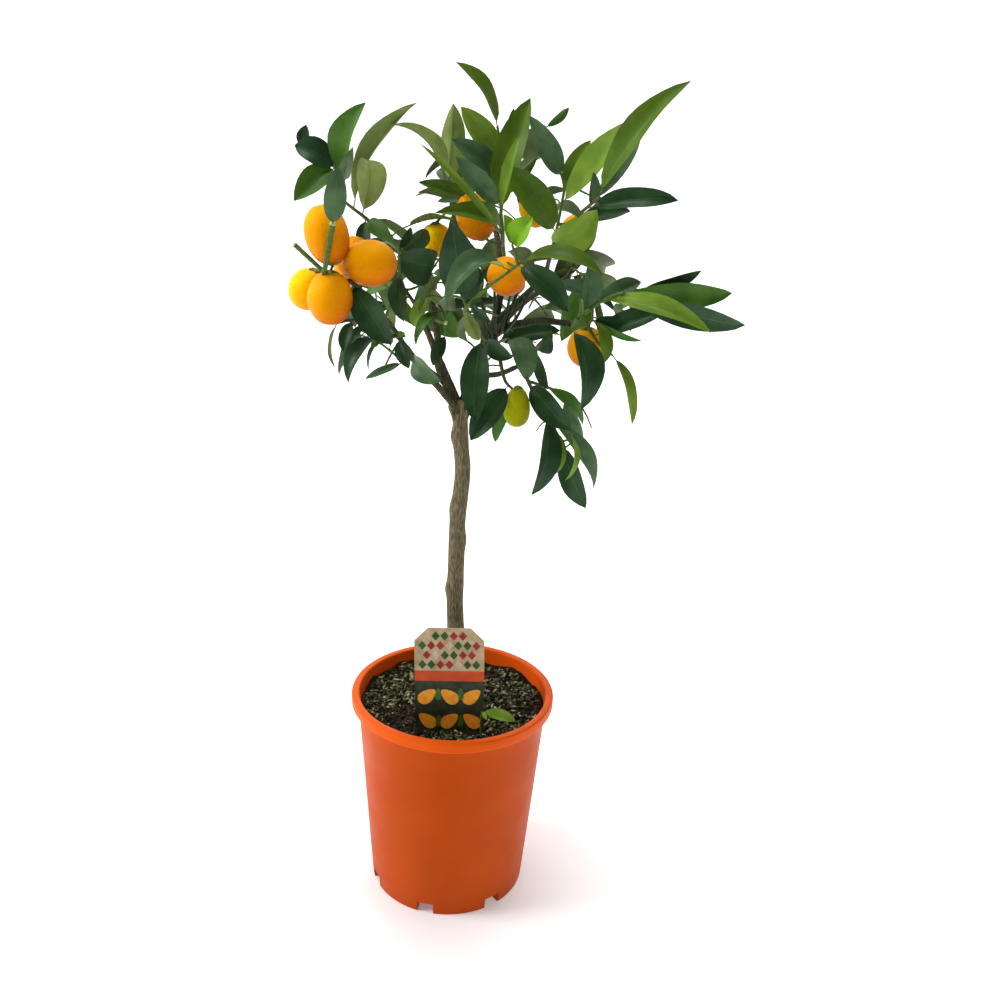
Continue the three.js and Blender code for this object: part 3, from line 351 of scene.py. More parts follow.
# Masses of foliage. Lines are counted from the stem, 0, then its twigs, and a share is a place along
# a line. A twig is its line, its share and its points. A leaf is its line and share, its turn in the
# picture and its lean to the front in degrees, length, width, roll in degrees and arch, and has a
# letter for its tone. A fruit is its centre, length, width, turn, lean, line and share.
MASSES = (
    dict(
        name="foliage_left_fruit", bough="bough_left_front", seed=11, sprigs=2,
        space=((-66, -84, 604), (34, 40, 32)),
        stem=((-64, -90, 573), (-77, -120, 593), (-95, -136, 600)),
        twigs=(
            (0, 1, ((-86, -146, 636),)),
            (0, 0.92, ((-98, -128, 603), (-117, -122, 618))),
            (0, 0.55, ((-75, -86, 620),)),
            (0, 0.2, ((-46, -86, 598),)),
        ),
        tones="dgd",
        leaves=(
            (0, 0.67, -54, 13, 52, 24, 15, 0.06), (1, 0.95, 81, 17, 42, 16, 10, 0.06),
            (4, 0.95, -82, 26, 36, 16, 20, 0.08),
        ),
        ripeness="oooya",
        fruits=(
            (-94, -124, 626, 42, 31, 105, 0, 0, 0.97),
            (-64, -118, 607, 38, 33, 2, 10, 0, 0.66),
            (-91, -130, 583, 38, 32, -90, 5, 0, 0.76),
            (-112, -100, 584, 31, 29, -110, 0, 0, 0.8),
            (-80, -92, 608, 30, 27, 80, -10, 3, 0.4),
        ),
    ),
    dict(
        name="foliage_left_upper", bough="bough_left", seed=12, sprigs=5,
        space=((-44, -30, 598), (42, 50, 44)),
        stem=((-44, -46, 602), (-74, -70, 634), (-92, -70, 648), (-89, -67, 664)),
        twigs=(
            (0, 0.2, ((-22, -48, 599),)),
            (0, 1, ((-97, -68, 669),)),
            (2, 1, ((-110, -62, 679), (-123, -64, 682))),
            (0, 0.04, ((-17, -36, 562), (-14, -34, 542))),
        ),
        tones="omgdmmmdgbdddmd",
        leaves=(
            (0, 0.6, 61, -21, 94, 20, -130, 0.14), (0, 0.94, 71, 23, 62, 25, -35, 0.12),
            (0, 0.93, 64, 47, 44, 10, 10, 0.06), (2, 0.93, 153, 10, 33, 22, 35, 0.16),
            (2, 0.95, -139, 37, 43, 20, 10, 0.1), (0, 0.53, 80, 32, 49, 24, 172, 0.2),
            (0, 0.49, -32, 41, 34, 13, -20, 0.1), (1, 0.95, 161, 45, 40, 31, 0, 0.12),
            (0, 0.3, 36, -42, 33, 15, 15, 0.1), (0, 0.06, -113, -9, 31, 13, 15, 0.08),
            (3, 0.97, 74, 14, 17, 10, 10, 0.06), (0, 0.5, -88, 11, 32, 14, 20, 0.08),
            (0, 0.31, 61, -30, 20, 7.4, 20, 0.08), (4, 0.5, -127, 17, 35, 11, 50, 0.22),
            (4, 0.98, -111, 13, 27, 12, 10, 0.06),
        ),
        ripeness="",
        fruits=(),
    ),
    dict(
        name="foliage_left_low", bough="bough_left_low", seed=13, sprigs=3,
        space=((-68, -50, 540), (42, 45, 38)),
        stem=((-50, -68, 546), (-61, -84, 547), (-75, -102, 563), (-89, -118, 563)),
        twigs=(
            (0, 0.28, ((-43, -70, 547),)),
            (0, 0.1, ((-47, -50, 521),)),
        ),
        tones="ddddmgdgddm",
        leaves=(
            (0, 0.81, -105, 25, 24, 11, 20, 0.06), (0, 0.7, -122, 20, 18, 7.1, 20, 0.08),
            (0, 0.5, -126, 36, 44, 18, 45, 0.24), (0, 0.48, -113, -24, 34, 6.2, 60, 0.08),
            (0, 0.51, -128, 23, 10, 6.1, 0, 0.08), (2, 0.95, -157, 18, 33, 7.4, 30, 0.08),
            (0, 0.22, -62, 43, 29, 13, 10, 0.08), (0, 0.02, -31, 43, 38, 20, 20, 0.1),
            (0, 0.99, -91, 18, 33, 7, 70, 0.1), (0, 0.75, -17, 33, 22, 10, 15, 0.08),
            (1, 0.8, 124, 36, 7, 6.2, 0, 0.08),
        ),
        ripeness="",
        fruits=(),
    ),
    dict(
        name="foliage_crest", bough="bough_crest", seed=14, sprigs=4,
        space=((14, -10, 642), (48, 42, 48)),
        stem=((26, -16, 636), (27, -8, 668), (20, 0, 703)),
        twigs=(
            (0, 0.3, ((0, -24, 648), (-19, -20, 662))),
            (0, 0.1, ((29, -50, 625), (26, -62, 648))),
        ),
        tones="bobmggobdmogom",
        leaves=(
            (2, 0.5, 133, 22, 95, 6.6, 30, 0.03), (0, 0.99, 124, 10, 58, 17, 55, 0.11),
            (0, 0.75, 131, 17, 53, 20, 10, 0.05), (1, 0.91, 88, -9, 59, 21, 165, 0.08),
            (0, 0.65, 148, 16, 51, 18, 12, 0.08), (2, 0.96, 134, 26, 54, 16, 12, 0.08),
            (0, 0.34, 78, 0, 90, 25, -18, 0.12), (2, 0.87, 79, 14, 58, 10, -40, 0.06),
            (0, 0.65, 84, -21, 55, 10, 10, 0.06), (0, 0.48, 51, 0, 41, 7.3, 30, 0.08),
            (1, 0.55, 163, 31, 43, 11, 20, 0.12), (1, 0.53, -171, 0, 23, 6.7, 20, 0.08),
            (0, 0.22, 161, 40, 68, 17, 40, 0.2), (1, 0.98, 133, 17, 61, 22, 125, 0.16),
        ),
        ripeness="ay",
        fruits=(
            (6, -22, 635, 38, 30, 115, 0, 2, 0.1),
            (-25, -16, 615, 27, 26, -85, 0, 1, 0.55),
        ),
    ),
    dict(
        name="foliage_crest_right", bough="bough_crest_right", seed=15, sprigs=4,
        space=((80, -25, 636), (40, 48, 42)),
        stem=((68, -56, 619), (84, -84, 645), (96, -110, 659)),
        twigs=(
            (0, 0.25, ((73, -38, 651), (72, -32, 668), (56, -40, 705))),
        ),
        tones="bogogdboogm",
        leaves=(
            (1, 0.31, 53, 36, 102, 22, -40, 0.06), (0, 0.96, 57, 11, 98, 20, -40, 0.1),
            (0, 0.83, 68, -34, 78, 13, 10, 0.05), (1, 0.46, 66, 8, 43, 14, -30, 0.12),
            (0, 0.81, 86, 0, 23, 9, 20, 0.08), (0, 0.76, 9, 9, 66, 17, -35, 0.08),
            (0, 0.33, 45, 28, 47, 29, 10, 0.12), (0, 0.24, 26, -19, 42, 17, 10, 0.1),
            (1, 0.14, 132, 17, 68, 26, 15, 0.1), (1, 0.66, 122, 30, 59, 18, 12, 0.08),
            (1, 0.99, 41, -23, 25, 7.2, 20, 0.08),
        ),
        ripeness="",
        fruits=(),
    ),
    dict(
        name="foliage_centre", bough="bough_centre", seed=16, sprigs=6,
        space=((8, -52, 588), (56, 44, 44)),
        stem=((3, -90, 573), (20, -101, 592), (32, -105, 602), (43, -105, 611)),
        twigs=(
            (0, 0.05, ((0, -72, 579),)),
            (0, 0.95, ((36, -110, 624),)),
        ),
        tones="dgyyodddmd",
        leaves=(
            (1, 0.94, 98, 25, 65, 31, 8, 0.08), (0, 0.82, -149, 23, 56, 21, 50, 0.4),
            (2, 0.95, 108, 10, 23, 12, 25, 0.08), (2, 0.95, 65, 13, 27, 18, -20, 0.12),
            (0, 0.99, -3, 17, 62, 17, -50, 0.2), (0, 0.94, -37, 21, 51, 21, -30, 0.14),
            (0, 0.32, -33, 31, 23, 7.1, 20, 0.1), (0, 0.29, 30, 33, 14, 7.1, 20, 0.1),
            (0, 0.26, -62, 27, 27, 12, 150, 0.1), (1, 0.77, 75, 8, 31, 20, 10, 0.08),
        ),
        ripeness="a",
        fruits=(
            (33, -84, 598, 29, 29, -60, 30, 0, 0.9),
        ),
    ),
    dict(
        name="foliage_right", bough="bough_right", seed=17, sprigs=4,
        space=((124, -16, 568), (46, 50, 24)),
        stem=((108, -60, 580), (122, -76, 589)),
        twigs=(
            (0, 0.2, ((106, -60, 548), (119, -64, 538))),
            (0, 0.35, ((101, -62, 564),)),
            (0, 0.4, ((116, -40, 582), (141, -26, 585))),
            (0, 0.1, ((85, -66, 558),)),
        ),
        tones="bmddgdmodgbd",
        leaves=(
            (0, 0.5, -9, 27, 89, 17, -35, 0.14), (3, 0.7, 2, 0, 86, 24, 12, 0.05),
            (3, 0.97, 22, 16, 51, 12, 12, 0.08), (0, 0.87, -13, -7, 106, 21, 15, 0.08),
            (3, 0.03, 28, -14, 40, 15, -30, 0.12), (1, 0.4, 22, 0, 59, 19, -30, 0.1),
            (2, 0.85, -20, 11, 42, 7.2, 30, 0.08), (2, 0.91, -66, 19, 36, 14, -40, 0.24),
            (4, 0.95, -74, 22, 64, 27, -35, 0.2), (0, 0.28, 92, 11, 43, 18, 15, 0.08),
            (1, 0.98, -70, 25, 57, 11, -40, 0.16), (2, 0.94, 5, 0, 23, 12, 20, 0.08),
        ),
        ripeness="o",
        fruits=(
            (100, -46, 540, 32, 33, -85, 0, 2, 1),
        ),
    ),
    dict(
        name="foliage_right_low", bough="bough_right_low", seed=18, sprigs=3,
        space=((86, -25, 470), (32, 40, 32)),
        stem=((55, -48, 509), (69, -62, 490), (84, -60, 464)),
        twigs=(
            (0, 0.3, ((82, -40, 501), (98, -30, 490))),
            (0, 0.75, ((90, -74, 476),)),
            (0, 0.04, ((60, -50, 537),)),
        ),
        tones="ddbmggbdddm",
        leaves=(
            (0, 0.33, -40, 43, 55, 22, 12, 0.08), (0, 0.68, -97, 14, 67, 22, -30, 0.16),
            (0, 0.83, -89, 19, 38, 9, -50, 0.2), (1, 0.26, -43, -10, 48, 14, -50, 0.16),
            (1, 0.57, -60, -16, 50, 14, 15, 0.08), (2, 0.03, -55, -6, 71, 19, -50, 0.12),
            (2, 0.96, -92, 15, 38, 9, -50, 0.2), (0, 0.98, -61, 20, 59, 21, 12, 0.08),
            (3, 0.95, -71, -10, 35, 11, 20, 0.08), (3, 0.95, 54, 30, 20, 15, 15, 0.1),
            (3, 0.94, 59, 16, 22, 10, 20, 0.1),
        ),
        ripeness="",
        fruits=(),
    ),
    dict(
        name="foliage_hanging", bough="bough_hanging", seed=19, sprigs=2,
        space=((30, -36, 520), (36, 34, 26)),
        stem=((31, -48, 526), (36, -58, 512), (44, -62, 506)),
        twigs=(
            (0, 0.2, ((14, -58, 548),)),
            (0, 0.08, ((36, -54, 546),)),
        ),
        tones="ddmgd",
        leaves=(
            (1, 0.9, -92, 24, 68, 24, 10, 0.06), (0, 0.76, -124, 22, 54, 23, 12, 0.06),
            (0, 0.95, -106, -7, 48, 12, 20, 0.08), (2, 0.96, -60, 28, 38, 22, -35, 0.3),
            (1, 0.71, -27, 26, 27, 16, 15, 0.1),
        ),
        ripeness="g",
        fruits=(
            (46, -62, 493, 33, 21.5, -90, 0, 0, 1),
        ),
    ),
    dict(
        name="foliage_back_left", bough="bough_back_left", seed=20, sprigs=8,
        space=((-62, 70, 574), (62, 66, 46)),
        stem=((-68, 84, 572), (-86, 92, 598)),
        twigs=(
            (0, 0.3, ((-44, 88, 566), (-22, 102, 600))),
        ),
        tones="dmdm",
        leaves=(
            (0, 0.9, -120, -58, 68, 24, 0, 0.1), (0, 0.6, 170, -40, 64, 24, 0, 0.1),
            (1, 0.9, -60, -48, 62, 23, 0, 0.1), (1, 1, 60, -50, 54, 21, 0, 0.1),
        ),
        ripeness="oy",
        fruits=(
            (-112, 98, 576, 34, 28, -85, 0, 0, 1),
            (-13, 110, 583, 34, 28, -80, 0, 1, 1),
        ),
    ),
    dict(
        name="foliage_back_right", bough="bough_back_right", seed=21, sprigs=8,
        space=((76, 76, 562), (64, 66, 40)),
        stem=((88, 84, 580), (98, 96, 606)),
        twigs=(
            (0, 0.3, ((72, 96, 568),)),
            (0, 0.2, ((104, 88, 540),)),
        ),
        tones="mddm",
        leaves=(
            (0, 1, -40, -55, 70, 25, 0, 0.1), (0, 0.7, -120, -50, 66, 24, 0, 0.1),
            (0, 0.5, -15, -38, 64, 24, 0, 0.1), (1, 1, 50, -52, 62, 23, 0, 0.1),
        ),
        ripeness="oo",
        fruits=(
            (92, 100, 616, 32, 27, 80, 0, 0, 1),
            (112, 90, 514, 33, 27, -85, 0, 2, 1),
        ),
    ),
    dict(
        name="foliage_back_top", bough="bough_back_top", seed=22, sprigs=7,
        space=((26, 68, 656), (60, 58, 48)),
        stem=((14, 62, 662), (18, 66, 692)),
        twigs=(
            (0, 0.35, ((36, 92, 652),)),
        ),
        tones="dmdm",
        leaves=(
            (0, 0.9, -100, -60, 74, 26, 0, 0.1), (0, 0.7, 165, -50, 70, 25, 0, 0.1),
            (0, 0.8, 15, -45, 70, 25, 0, 0.1), (1, 1, -40, -55, 60, 22, 0, 0.1),
        ),
        ripeness="y",
        fruits=(
            (54, 96, 634, 32, 26, -60, 0, 1, 1),
        ),
    ),
    dict(
        name="foliage_back_low", bough="bough_back_low", seed=23, sprigs=6,
        space=((20, 92, 532), (74, 56, 36)),
        stem=((12, 92, 512), (14, 112, 564)),
        twigs=(
            (0, 0.4, ((44, 108, 530),)),
        ),
        tones="dmdm",
        leaves=(
            (0, 0.8, -95, -52, 58, 23, 0, 0.1), (0, 0.6, 160, -44, 60, 23, 0, 0.1),
            (1, 1, 10, -50, 58, 22, 0, 0.1), (0, 1, 70, -50, 52, 21, 0, 0.1),
        ),
        ripeness="o",
        fruits=(
            (34, 118, 566, 33, 27, 0, 0, 0, 1),
        ),
    ),
)


# Vectors and lines

def direction(turn, lean):
    flat = math.cos(math.radians(lean))
    return Vector((
        math.cos(math.radians(turn)) * flat,
        -math.sin(math.radians(lean)),
        math.sin(math.radians(turn)) * flat,
    ))


def square_to(axis, wish):
    across = wish - axis * wish.dot(axis)
    if across.length < 0.05:
        spare = UP if abs(axis.z) < 0.8 else EAST
        across = spare - axis * spare.dot(axis)
    return across.normalized()


def frame_round(axis):
    """Two directions that are square to an axis and to each other."""
    normal = square_to(axis, EAST)
    return normal, axis.cross(normal)


def turned(wish, axis, degrees):
    return Matrix.Rotation(math.radians(degrees), 3, axis) @ wish


def mix(start, end, share):
    return start + (end - start) * share


def smooth(a, b, c, d, t):
    linear = (c - a) * t
    square = (2 * a - 5 * b + 4 * c - d) * t * t
    cube = (3 * b - a - 3 * c + d) * t * t * t
    return 0.5 * (2 * b + linear + square + cube)


def along(points, share):
    last = len(points) - 1
    first = min(int(share * last), last - 1)
    near = [points[max(0, min(last, first + k))] for k in (-1, 0, 1, 2)]
    t = share * last - first
    return Vector([smooth(*(point[axis] for point in near), t) for axis in range(3)])


def straight_pieces(points, steps_per_point):
    steps = (len(points) - 1) * steps_per_point
    return [along(points, k / steps) for k in range(steps + 1)]


def on_line(line, share):
    last = len(line) - 1
    place = min(share * last, last - END_INSET)
    first = int(place)
    return line[first].lerp(line[first + 1], place - first)


def seeded_random(seed):
    state = [seed]

    def multiply(a, b):
        return (a * b) & 0xFFFFFFFF

    def draw():
        state[0] = (state[0] + 0x6D2B79F5) & 0xFFFFFFFF
        mixed = multiply(state[0] ^ (state[0] >> 15), state[0] | 1)
        mixed ^= (mixed + multiply(mixed ^ (mixed >> 7), mixed | 61)) & 0xFFFFFFFF
        return ((mixed ^ (mixed >> 14)) & 0xFFFFFFFF) / 4294967296
    return draw


# Meshes

class Joined:
    """Points in millimetres and faces of one piece that is made of many small shapes."""

    def __init__(self):
        self.points = []
        self.faces = []
        self.uvs = []

    def add(self, points, faces, uvs=None):
        start = len(self.points)
        self.points.extend(points)
        for face in faces:
            self.faces.append([start + k for k in face])
            self.uvs.extend([uvs[k] if uvs else (0.5, 0.5) for k in face])


def ring_round(centre, normal, side, sides, radius_at):
    """A ring of points round a centre, with a radius for each angle."""
    ring = []
    for s in range(sides):
        angle = 2 * math.pi * s / sides
        radius = radius_at(angle)
        ring.append(centre + normal * radius * math.cos(angle) + side * radius * math.sin(angle))
    return ring


def add_rings(joined, rings):
    """A closed skin over rings of points, with a flat face at both ends."""
    sides = len(rings[0])
    last = (len(rings) - 1) * sides
    faces = []
    for start in range(0, last, sides):
        for s in range(sides):
            a = start + s
            b = start + (s + 1) % sides
            faces.append((a, b, b + sides, a + sides))
    faces.append(tuple(reversed(range(sides))))
    faces.append(tuple(range(last, last + sides)))
    joined.add([point for ring in rings for point in ring], faces)


def limb_rings(points, radius_at, sides, steps, level=False):
    """Rings along a limb, square to it or, for the trunk, level."""
    rings = []
    step = 0.5 / steps
    normal = EAST
    for k in range(steps + 1):
        share = k / steps
        centre = along(points, share)
        tangent = UP
        if not level:
            ahead = along(points, min(1, share + step))
            tangent = (ahead - along(points, max(0, share - step))).normalized()
        normal = square_to(tangent, normal)
        rings.append(ring_round(
            centre, normal, tangent.cross(normal), sides, lambda angle: radius_at(share, angle, centre)))
    return rings


def add_limb(joined, points, radius_at, sides, steps):
    add_rings(joined, limb_rings(points, radius_at, sides, steps))


def new_object(name, data):
    obj = bpy.data.objects.new(name, data)
    bpy.context.scene.collection.objects.link(obj)
    return obj


def object_from_shape(name, shape):
    mesh = bpy.data.meshes.new(name)
    shape.to_mesh(mesh)
    shape.free()
    return new_object(name, mesh)


def set_smooth(mesh, smooth=True):
    mesh.polygons.foreach_set("use_smooth", [smooth] * len(mesh.polygons))


def finish_piece(obj, material, replaced=()):
    obj.data.materials.clear()
    obj.data.materials.append(material)
    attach(obj, ROOT)
    if replaced:
        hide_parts(*replaced)
    return obj


def joined_piece(name, joined, material, replaced=()):
    mesh = bpy.data.meshes.new(name)
    mesh.from_pydata([tuple(Vector(p) * MM) for p in joined.points], [], joined.faces)
    layer = mesh.uv_layers.new(name="UVMap")
    for k, uv in enumerate(joined.uvs):
        layer.data[k].uv = uv
    mesh.validate()
    set_smooth(mesh)
    return finish_piece(new_object(name, mesh), material, replaced)


def smooth_by_angle(obj, degrees):
    set_smooth(obj.data)
    limit = math.radians(degrees)
    shape = bmesh.new()
    shape.from_mesh(obj.data)
    for edge in shape.edges:
        if len(edge.link_faces) == 2 and edge.calc_face_angle(0) > limit:
            edge.smooth = False
    shape.to_mesh(obj.data)
    shape.free()


# Materials

def new_material(name, base, roughness, specular):
    material = bpy.data.materials.new(name)
    material.use_nodes = True
    shader = material.node_tree.nodes["Principled BSDF"]
    set_inputs(shader, {
        "Base Color": (*base, 1),
        "Roughness": roughness,
        "Specular IOR Level": specular,
    })
    return material, material.node_tree, shader


def set_inputs(node, values):
    for socket, value in values.items():
        node.inputs[socket].default_value = value


def add_node(tree, kind, values, **sources):
    """A shader node with values, or the outputs that they come from, for its sockets."""
    node = tree.nodes.new("ShaderNode" + kind)
    set_inputs(node, values)
    for socket, source in sources.items():
        tree.links.new(source, node.inputs[socket])
    return node


def coordinate(tree, kind="Object"):
    return tree.nodes.new("ShaderNodeTexCoord").outputs[kind]


def noise_value(tree, scale, detail, stretch=(1, 1, 1)):
    place = add_node(tree, "Mapping", {"Scale": stretch}, Vector=coordinate(tree)).outputs["Vector"]
    return add_node(tree, "TexNoise", {"Scale": scale, "Detail": detail}, Vector=place).outputs["Fac"]


def drive_by_ramp(tree, socket, factor, stops):
    """Give a socket the colour, or the grey, that a ramp has at a factor."""
    ramp = tree.nodes.new("ShaderNodeValToRGB")
    elements = ramp.color_ramp.elements
    while len(elements) < len(stops):
        elements.new(0.5)
    for element, (place, colour) in zip(elements, stops):
        element.position = place
        element.color = (*colour, 1)
    tree.links.new(factor, ramp.inputs["Fac"])
    tree.links.new(ramp.outputs["Color"], socket)


def add_bump(tree, shader, height, strength, distance):
    bump = add_node(tree, "Bump", {"Strength": strength, "Distance": distance}, Height=height)
    tree.links.new(bump.outputs["Normal"], shader.inputs["Normal"])


def noisy_material(name, base, roughness, specular, scale, detail, stops, stretch=(1, 1, 1)):
    """A material whose base colour follows a noise. It returns the noise too."""
    material, tree, shader = new_material(name, base, roughness, specular)
    factor = noise_value(tree, scale, detail, stretch)
    drive_by_ramp(tree, shader.inputs["Base Color"], factor, stops)
    return material, tree, shader, factor


def value_math(tree, operation, first, second=0):
    node = tree.nodes.new("ShaderNodeMath")
    node.operation = operation
    for socket, value in zip(node.inputs, (first, second)):
        if isinstance(value, (int, float)):
            socket.default_value = value
        else:
            tree.links.new(value, socket)
    return node.outputs["Value"]


def vector_math(tree, operation, first, second=None):
    node = tree.nodes.new("ShaderNodeVectorMath")
    node.operation = operation
    tree.links.new(first, node.inputs[0])
    if second:
        node.inputs[1].default_value = second
    return node


def leaf_material(name, dark, light, roughness, coat):
    """Waxy leaf: mottled green, with side veins that run from the midrib to the edge."""
    stops = ((0.3, dark), (0.7, light))
    material, tree, shader, _ = noisy_material(name, light, roughness, 0.17, 60, 3, stops)
    set_inputs(shader, {"Coat Weight": coat, "Coat Roughness": 0.25})
    parts = add_node(tree, "SeparateXYZ", {}, Vector=coordinate(tree, "UV"))
    across = value_math(tree, "ABSOLUTE", value_math(tree, "SUBTRACT", parts.outputs["X"], 0.5))
    slope = value_math(tree, "MULTIPLY", across, VEIN_SLOPE)
    beside = value_math(tree, "SUBTRACT", parts.outputs["Y"], slope)
    phase = value_math(tree, "MULTIPLY", beside, VEIN_COUNT)
    waves = value_math(tree, "ABSOLUTE", value_math(tree, "SINE", phase))
    add_bump(tree, shader, value_math(tree, "POWER", waves, 0.5), 0.25, 0.0004)
    return material


def bark_material(name):
    """Streaks and furrows that run along the limb."""
    dark, mid, light = BARKS[name]
    stops = ((0.32, dark), (0.52, mid), (0.72, light))
    material, tree, shader, _ = noisy_material(name, mid, 0.85, 0.2, 820, 6, stops, (1, 1, 0.2))
    add_bump(tree, shader, noise_value(tree, 700, 5, (1, 1, 0.25)), 0.6, 0.0006)
    return material


def fruit_material(name, deep, bright):
    """Citrus skin: painted light, paler on the side that faces the light and deeper away from it, with a
    slow change of colour and its pores.
    """
    material, tree, shader = new_material(name, bright, 0.42, 0.08)
    set_inputs(shader, {
        "Specular Tint": (1.0, 0.65, 0.15, 1),
        "Subsurface Weight": 0.06,
        "Subsurface Radius": (0.004, 0.002, 0.0005),
        "Subsurface Scale": 1.0,
    })
    slow = noise_value(tree, 30, 3)
    # Painted light and shade: the skin's colour follows which way it faces
    facing = tree.nodes.new("ShaderNodeNewGeometry")
    lit_facing = vector_math(tree, "DOT_PRODUCT", facing.outputs["Normal"], PAINTED_LIGHT_SIDE)
    share = value_math(tree, "MULTIPLY", value_math(tree, "ADD", lit_facing.outputs["Value"], 1), 0.5)
    change = value_math(tree, "MULTIPLY", value_math(tree, "SUBTRACT", slow, 0.5), 0.35)
    lit_and_tone = value_math(tree, "ADD", share, change)
    drive_by_ramp(tree, shader.inputs["Base Color"], lit_and_tone, ((0.1, deep), (0.85, bright)))
    pores = add_node(tree, "TexVoronoi", {"Scale": PORE_SCALE}, Vector=coordinate(tree))
    add_bump(tree, shader, pores.outputs["Distance"], 0.5, 0.0006)
    return material


def mottled_material(name):
    dark, light, roughness, scale, bump = MOTTLES[name]
    stops = ((0.3, dark), (0.7, light))
    material, tree, shader, mottle = noisy_material(name, light, roughness, 0.2, scale, 4, stops)
    add_bump(tree, shader, mottle, bump, 0.0004)
    return material


def plastic_material(name):
    """Moulded plastic: faded and dull in blotches, with faint rings and a fine grain."""
    dark, mid, light = PLASTICS[name]
    stops = ((0.25, dark), (0.55, mid), (0.8, light))
    material, tree, shader, _ = noisy_material(name, mid, 0.5, 0.16, 9, 3, stops)
    set_inputs(shader, {"Specular Tint": (1.0, 0.5, 0.2, 1)})
    dull = noise_value(tree, 30, 5)
    drive_by_ramp(tree, shader.inputs["Roughness"], dull, ((0.3, (0.42,) * 3), (0.75, (0.6,) * 3)))
    rings = noise_value(tree, 60, 2, (0.02, 0.02, 6))
    grain = value_math(tree, "MULTIPLY", noise_value(tree, 900, 2), 0.35)
    add_bump(tree, shader, value_math(tree, "ADD", rings, grain), 0.12, 0.0006)
    return material


def soil_material():
    material, tree, shader, _ = noisy_material("soil_mix", SOIL_BASE, 0.95, 0.15, 45, 4, SOIL_COLOURS)
    add_bump(tree, shader, noise_value(tree, 600, 5), 0.8, 0.0012)
    return material


# Trunk and boughs

def bark_relief(centre, angle, radius, depth):
    """Shallow furrows that run along the limb, and a finer roughness between them."""
    spot = centre + Vector((math.cos(angle), math.sin(angle), 0)) * radius
    relief = 0
    for across, lengthwise, start, share in BARK_LAYERS:
        place = Vector((spot.x * across, spot.y * across, spot.z * lengthwise + start))
        relief += noise.noise(place) * share
    return radius * depth * relief


def trunk_radius(share, angle, centre):
    height = centre.z - TRUNK_PATH[0][2]
    lobes = 1 + FLARE_LOBE_DEPTH * math.cos(FLARE_LOBES * angle)
    flare = FLARE_RADIUS * math.exp(-height / FLARE_HEIGHT) * lobes
    radius = mix(TRUNK_FOOT_RADIUS, TRUNK_TIP_RADIUS, share) + flare
    for knot_height, knot_turn, rise in KNOTS:
        up = (centre.z - knot_height) / KNOT_REACH
        facing = max(0, math.cos(angle - math.radians(knot_turn)))
        radius += rise * math.exp(-up * up) * facing * facing
    return radius + bark_relief(centre, angle, radius, TRUNK_RELIEF)


def build_trunk():
    joined = Joined()
    add_rings(joined, limb_rings(TRUNK_PATH, trunk_radius, TRUNK_SIDES, TRUNK_STEPS, True))
    joined_piece("bark_trunk", joined, bark_material("bark"), ("trunk",))


def bough_radius(start_radius, end_radius):
    """A tapered bough with a collar where it starts and a slight swelling at each bud."""
    def radius_at(share, angle, centre):
        radius = mix(start_radius, end_radius, share) * (1 + BOUGH_COLLAR * math.exp(-share / 0.07))
        buds = 0.09 * math.exp(-((share * 6 % 1) - 0.5) ** 2 / 0.01)
        return radius * (1 + buds) + bark_relief(centre, angle, radius, BOUGH_RELIEF)
    return radius_at


def build_boughs(name, material, names):
    joined = Joined()
    for bough in names:
        points, *radii = BOUGHS[bough]
        add_limb(joined, points, bough_radius(*radii), BOUGH_SIDES, BOUGH_STEPS)
    joined_piece(name, joined, bark_material(material), names)


# Leaves

Leaf = namedtuple("Leaf", "base axis upper length width arch")


def spine_point(leaf, normal, share):
    rise = leaf.arch * leaf.length * 4 * share * (1 - share)
    return leaf.base + leaf.axis * (leaf.length * share) + normal * rise


def blade_width(t):
    """Half width of a leaf at a share of its blade, from 0 at both ends to 1."""
    bulge = max(0.0, 1 - (2 * t ** 0.98 - 1) ** 2)
    return bulge ** 0.74 * (1 - 0.22 * t ** 4)


def leaf_points(leaf, draw):
    """The grid of points of a leaf: folded along its midrib, wavy, twisted and curled."""
    normal = square_to(leaf.axis, leaf.upper)
    side = normal.cross(leaf.axis)
    fold = LEAF_FOLD + MORE_FOLD * draw()
    wave = LEAF_WAVE + MORE_WAVE * draw()
    phase = 6.28 * draw()
    twist = math.radians(LEAF_TWIST * (draw() - 0.5))
    curl = LEAF_CURL * draw()
    bend = LEAF_BEND * (draw() - 0.5)
    rows = []
    for row in range(LEAF_ROWS + 1):
        t = row / LEAF_ROWS
        share = mix(STALK_SHARE, 1, t)
        tangent = (leaf.axis + normal * (leaf.arch * 4 * (1 - 2 * share))).normalized()
        lift = (normal - tangent * normal.dot(tangent)).normalized()
        across = turned(side, tangent, math.degrees(twist * t))
        lift = turned(lift, tangent, math.degrees(twist * t))
        centre = spine_point(leaf, normal, share)
        centre += side * (bend * leaf.length * math.sin(math.pi * share))
        centre -= normal * (curl * leaf.length * t ** 6)
        half = max(0.02, leaf.width / 2 * blade_width(t))
        line = []
        for column in range(LEAF_COLUMNS + 1):
            u = 2 * column / LEAF_COLUMNS - 1
            ripple = wave * leaf.width / 2 * math.sin(9 * t + phase + (1.5 if u > 0 else 0)) * u * u
            rise = fold * half * abs(u) ** 1.18 + ripple * blade_width(t)
            line.append((centre + across * (half * u * (1 - 0.08 * fold)) + lift * rise, lift))
        rows.append(line)
    return rows


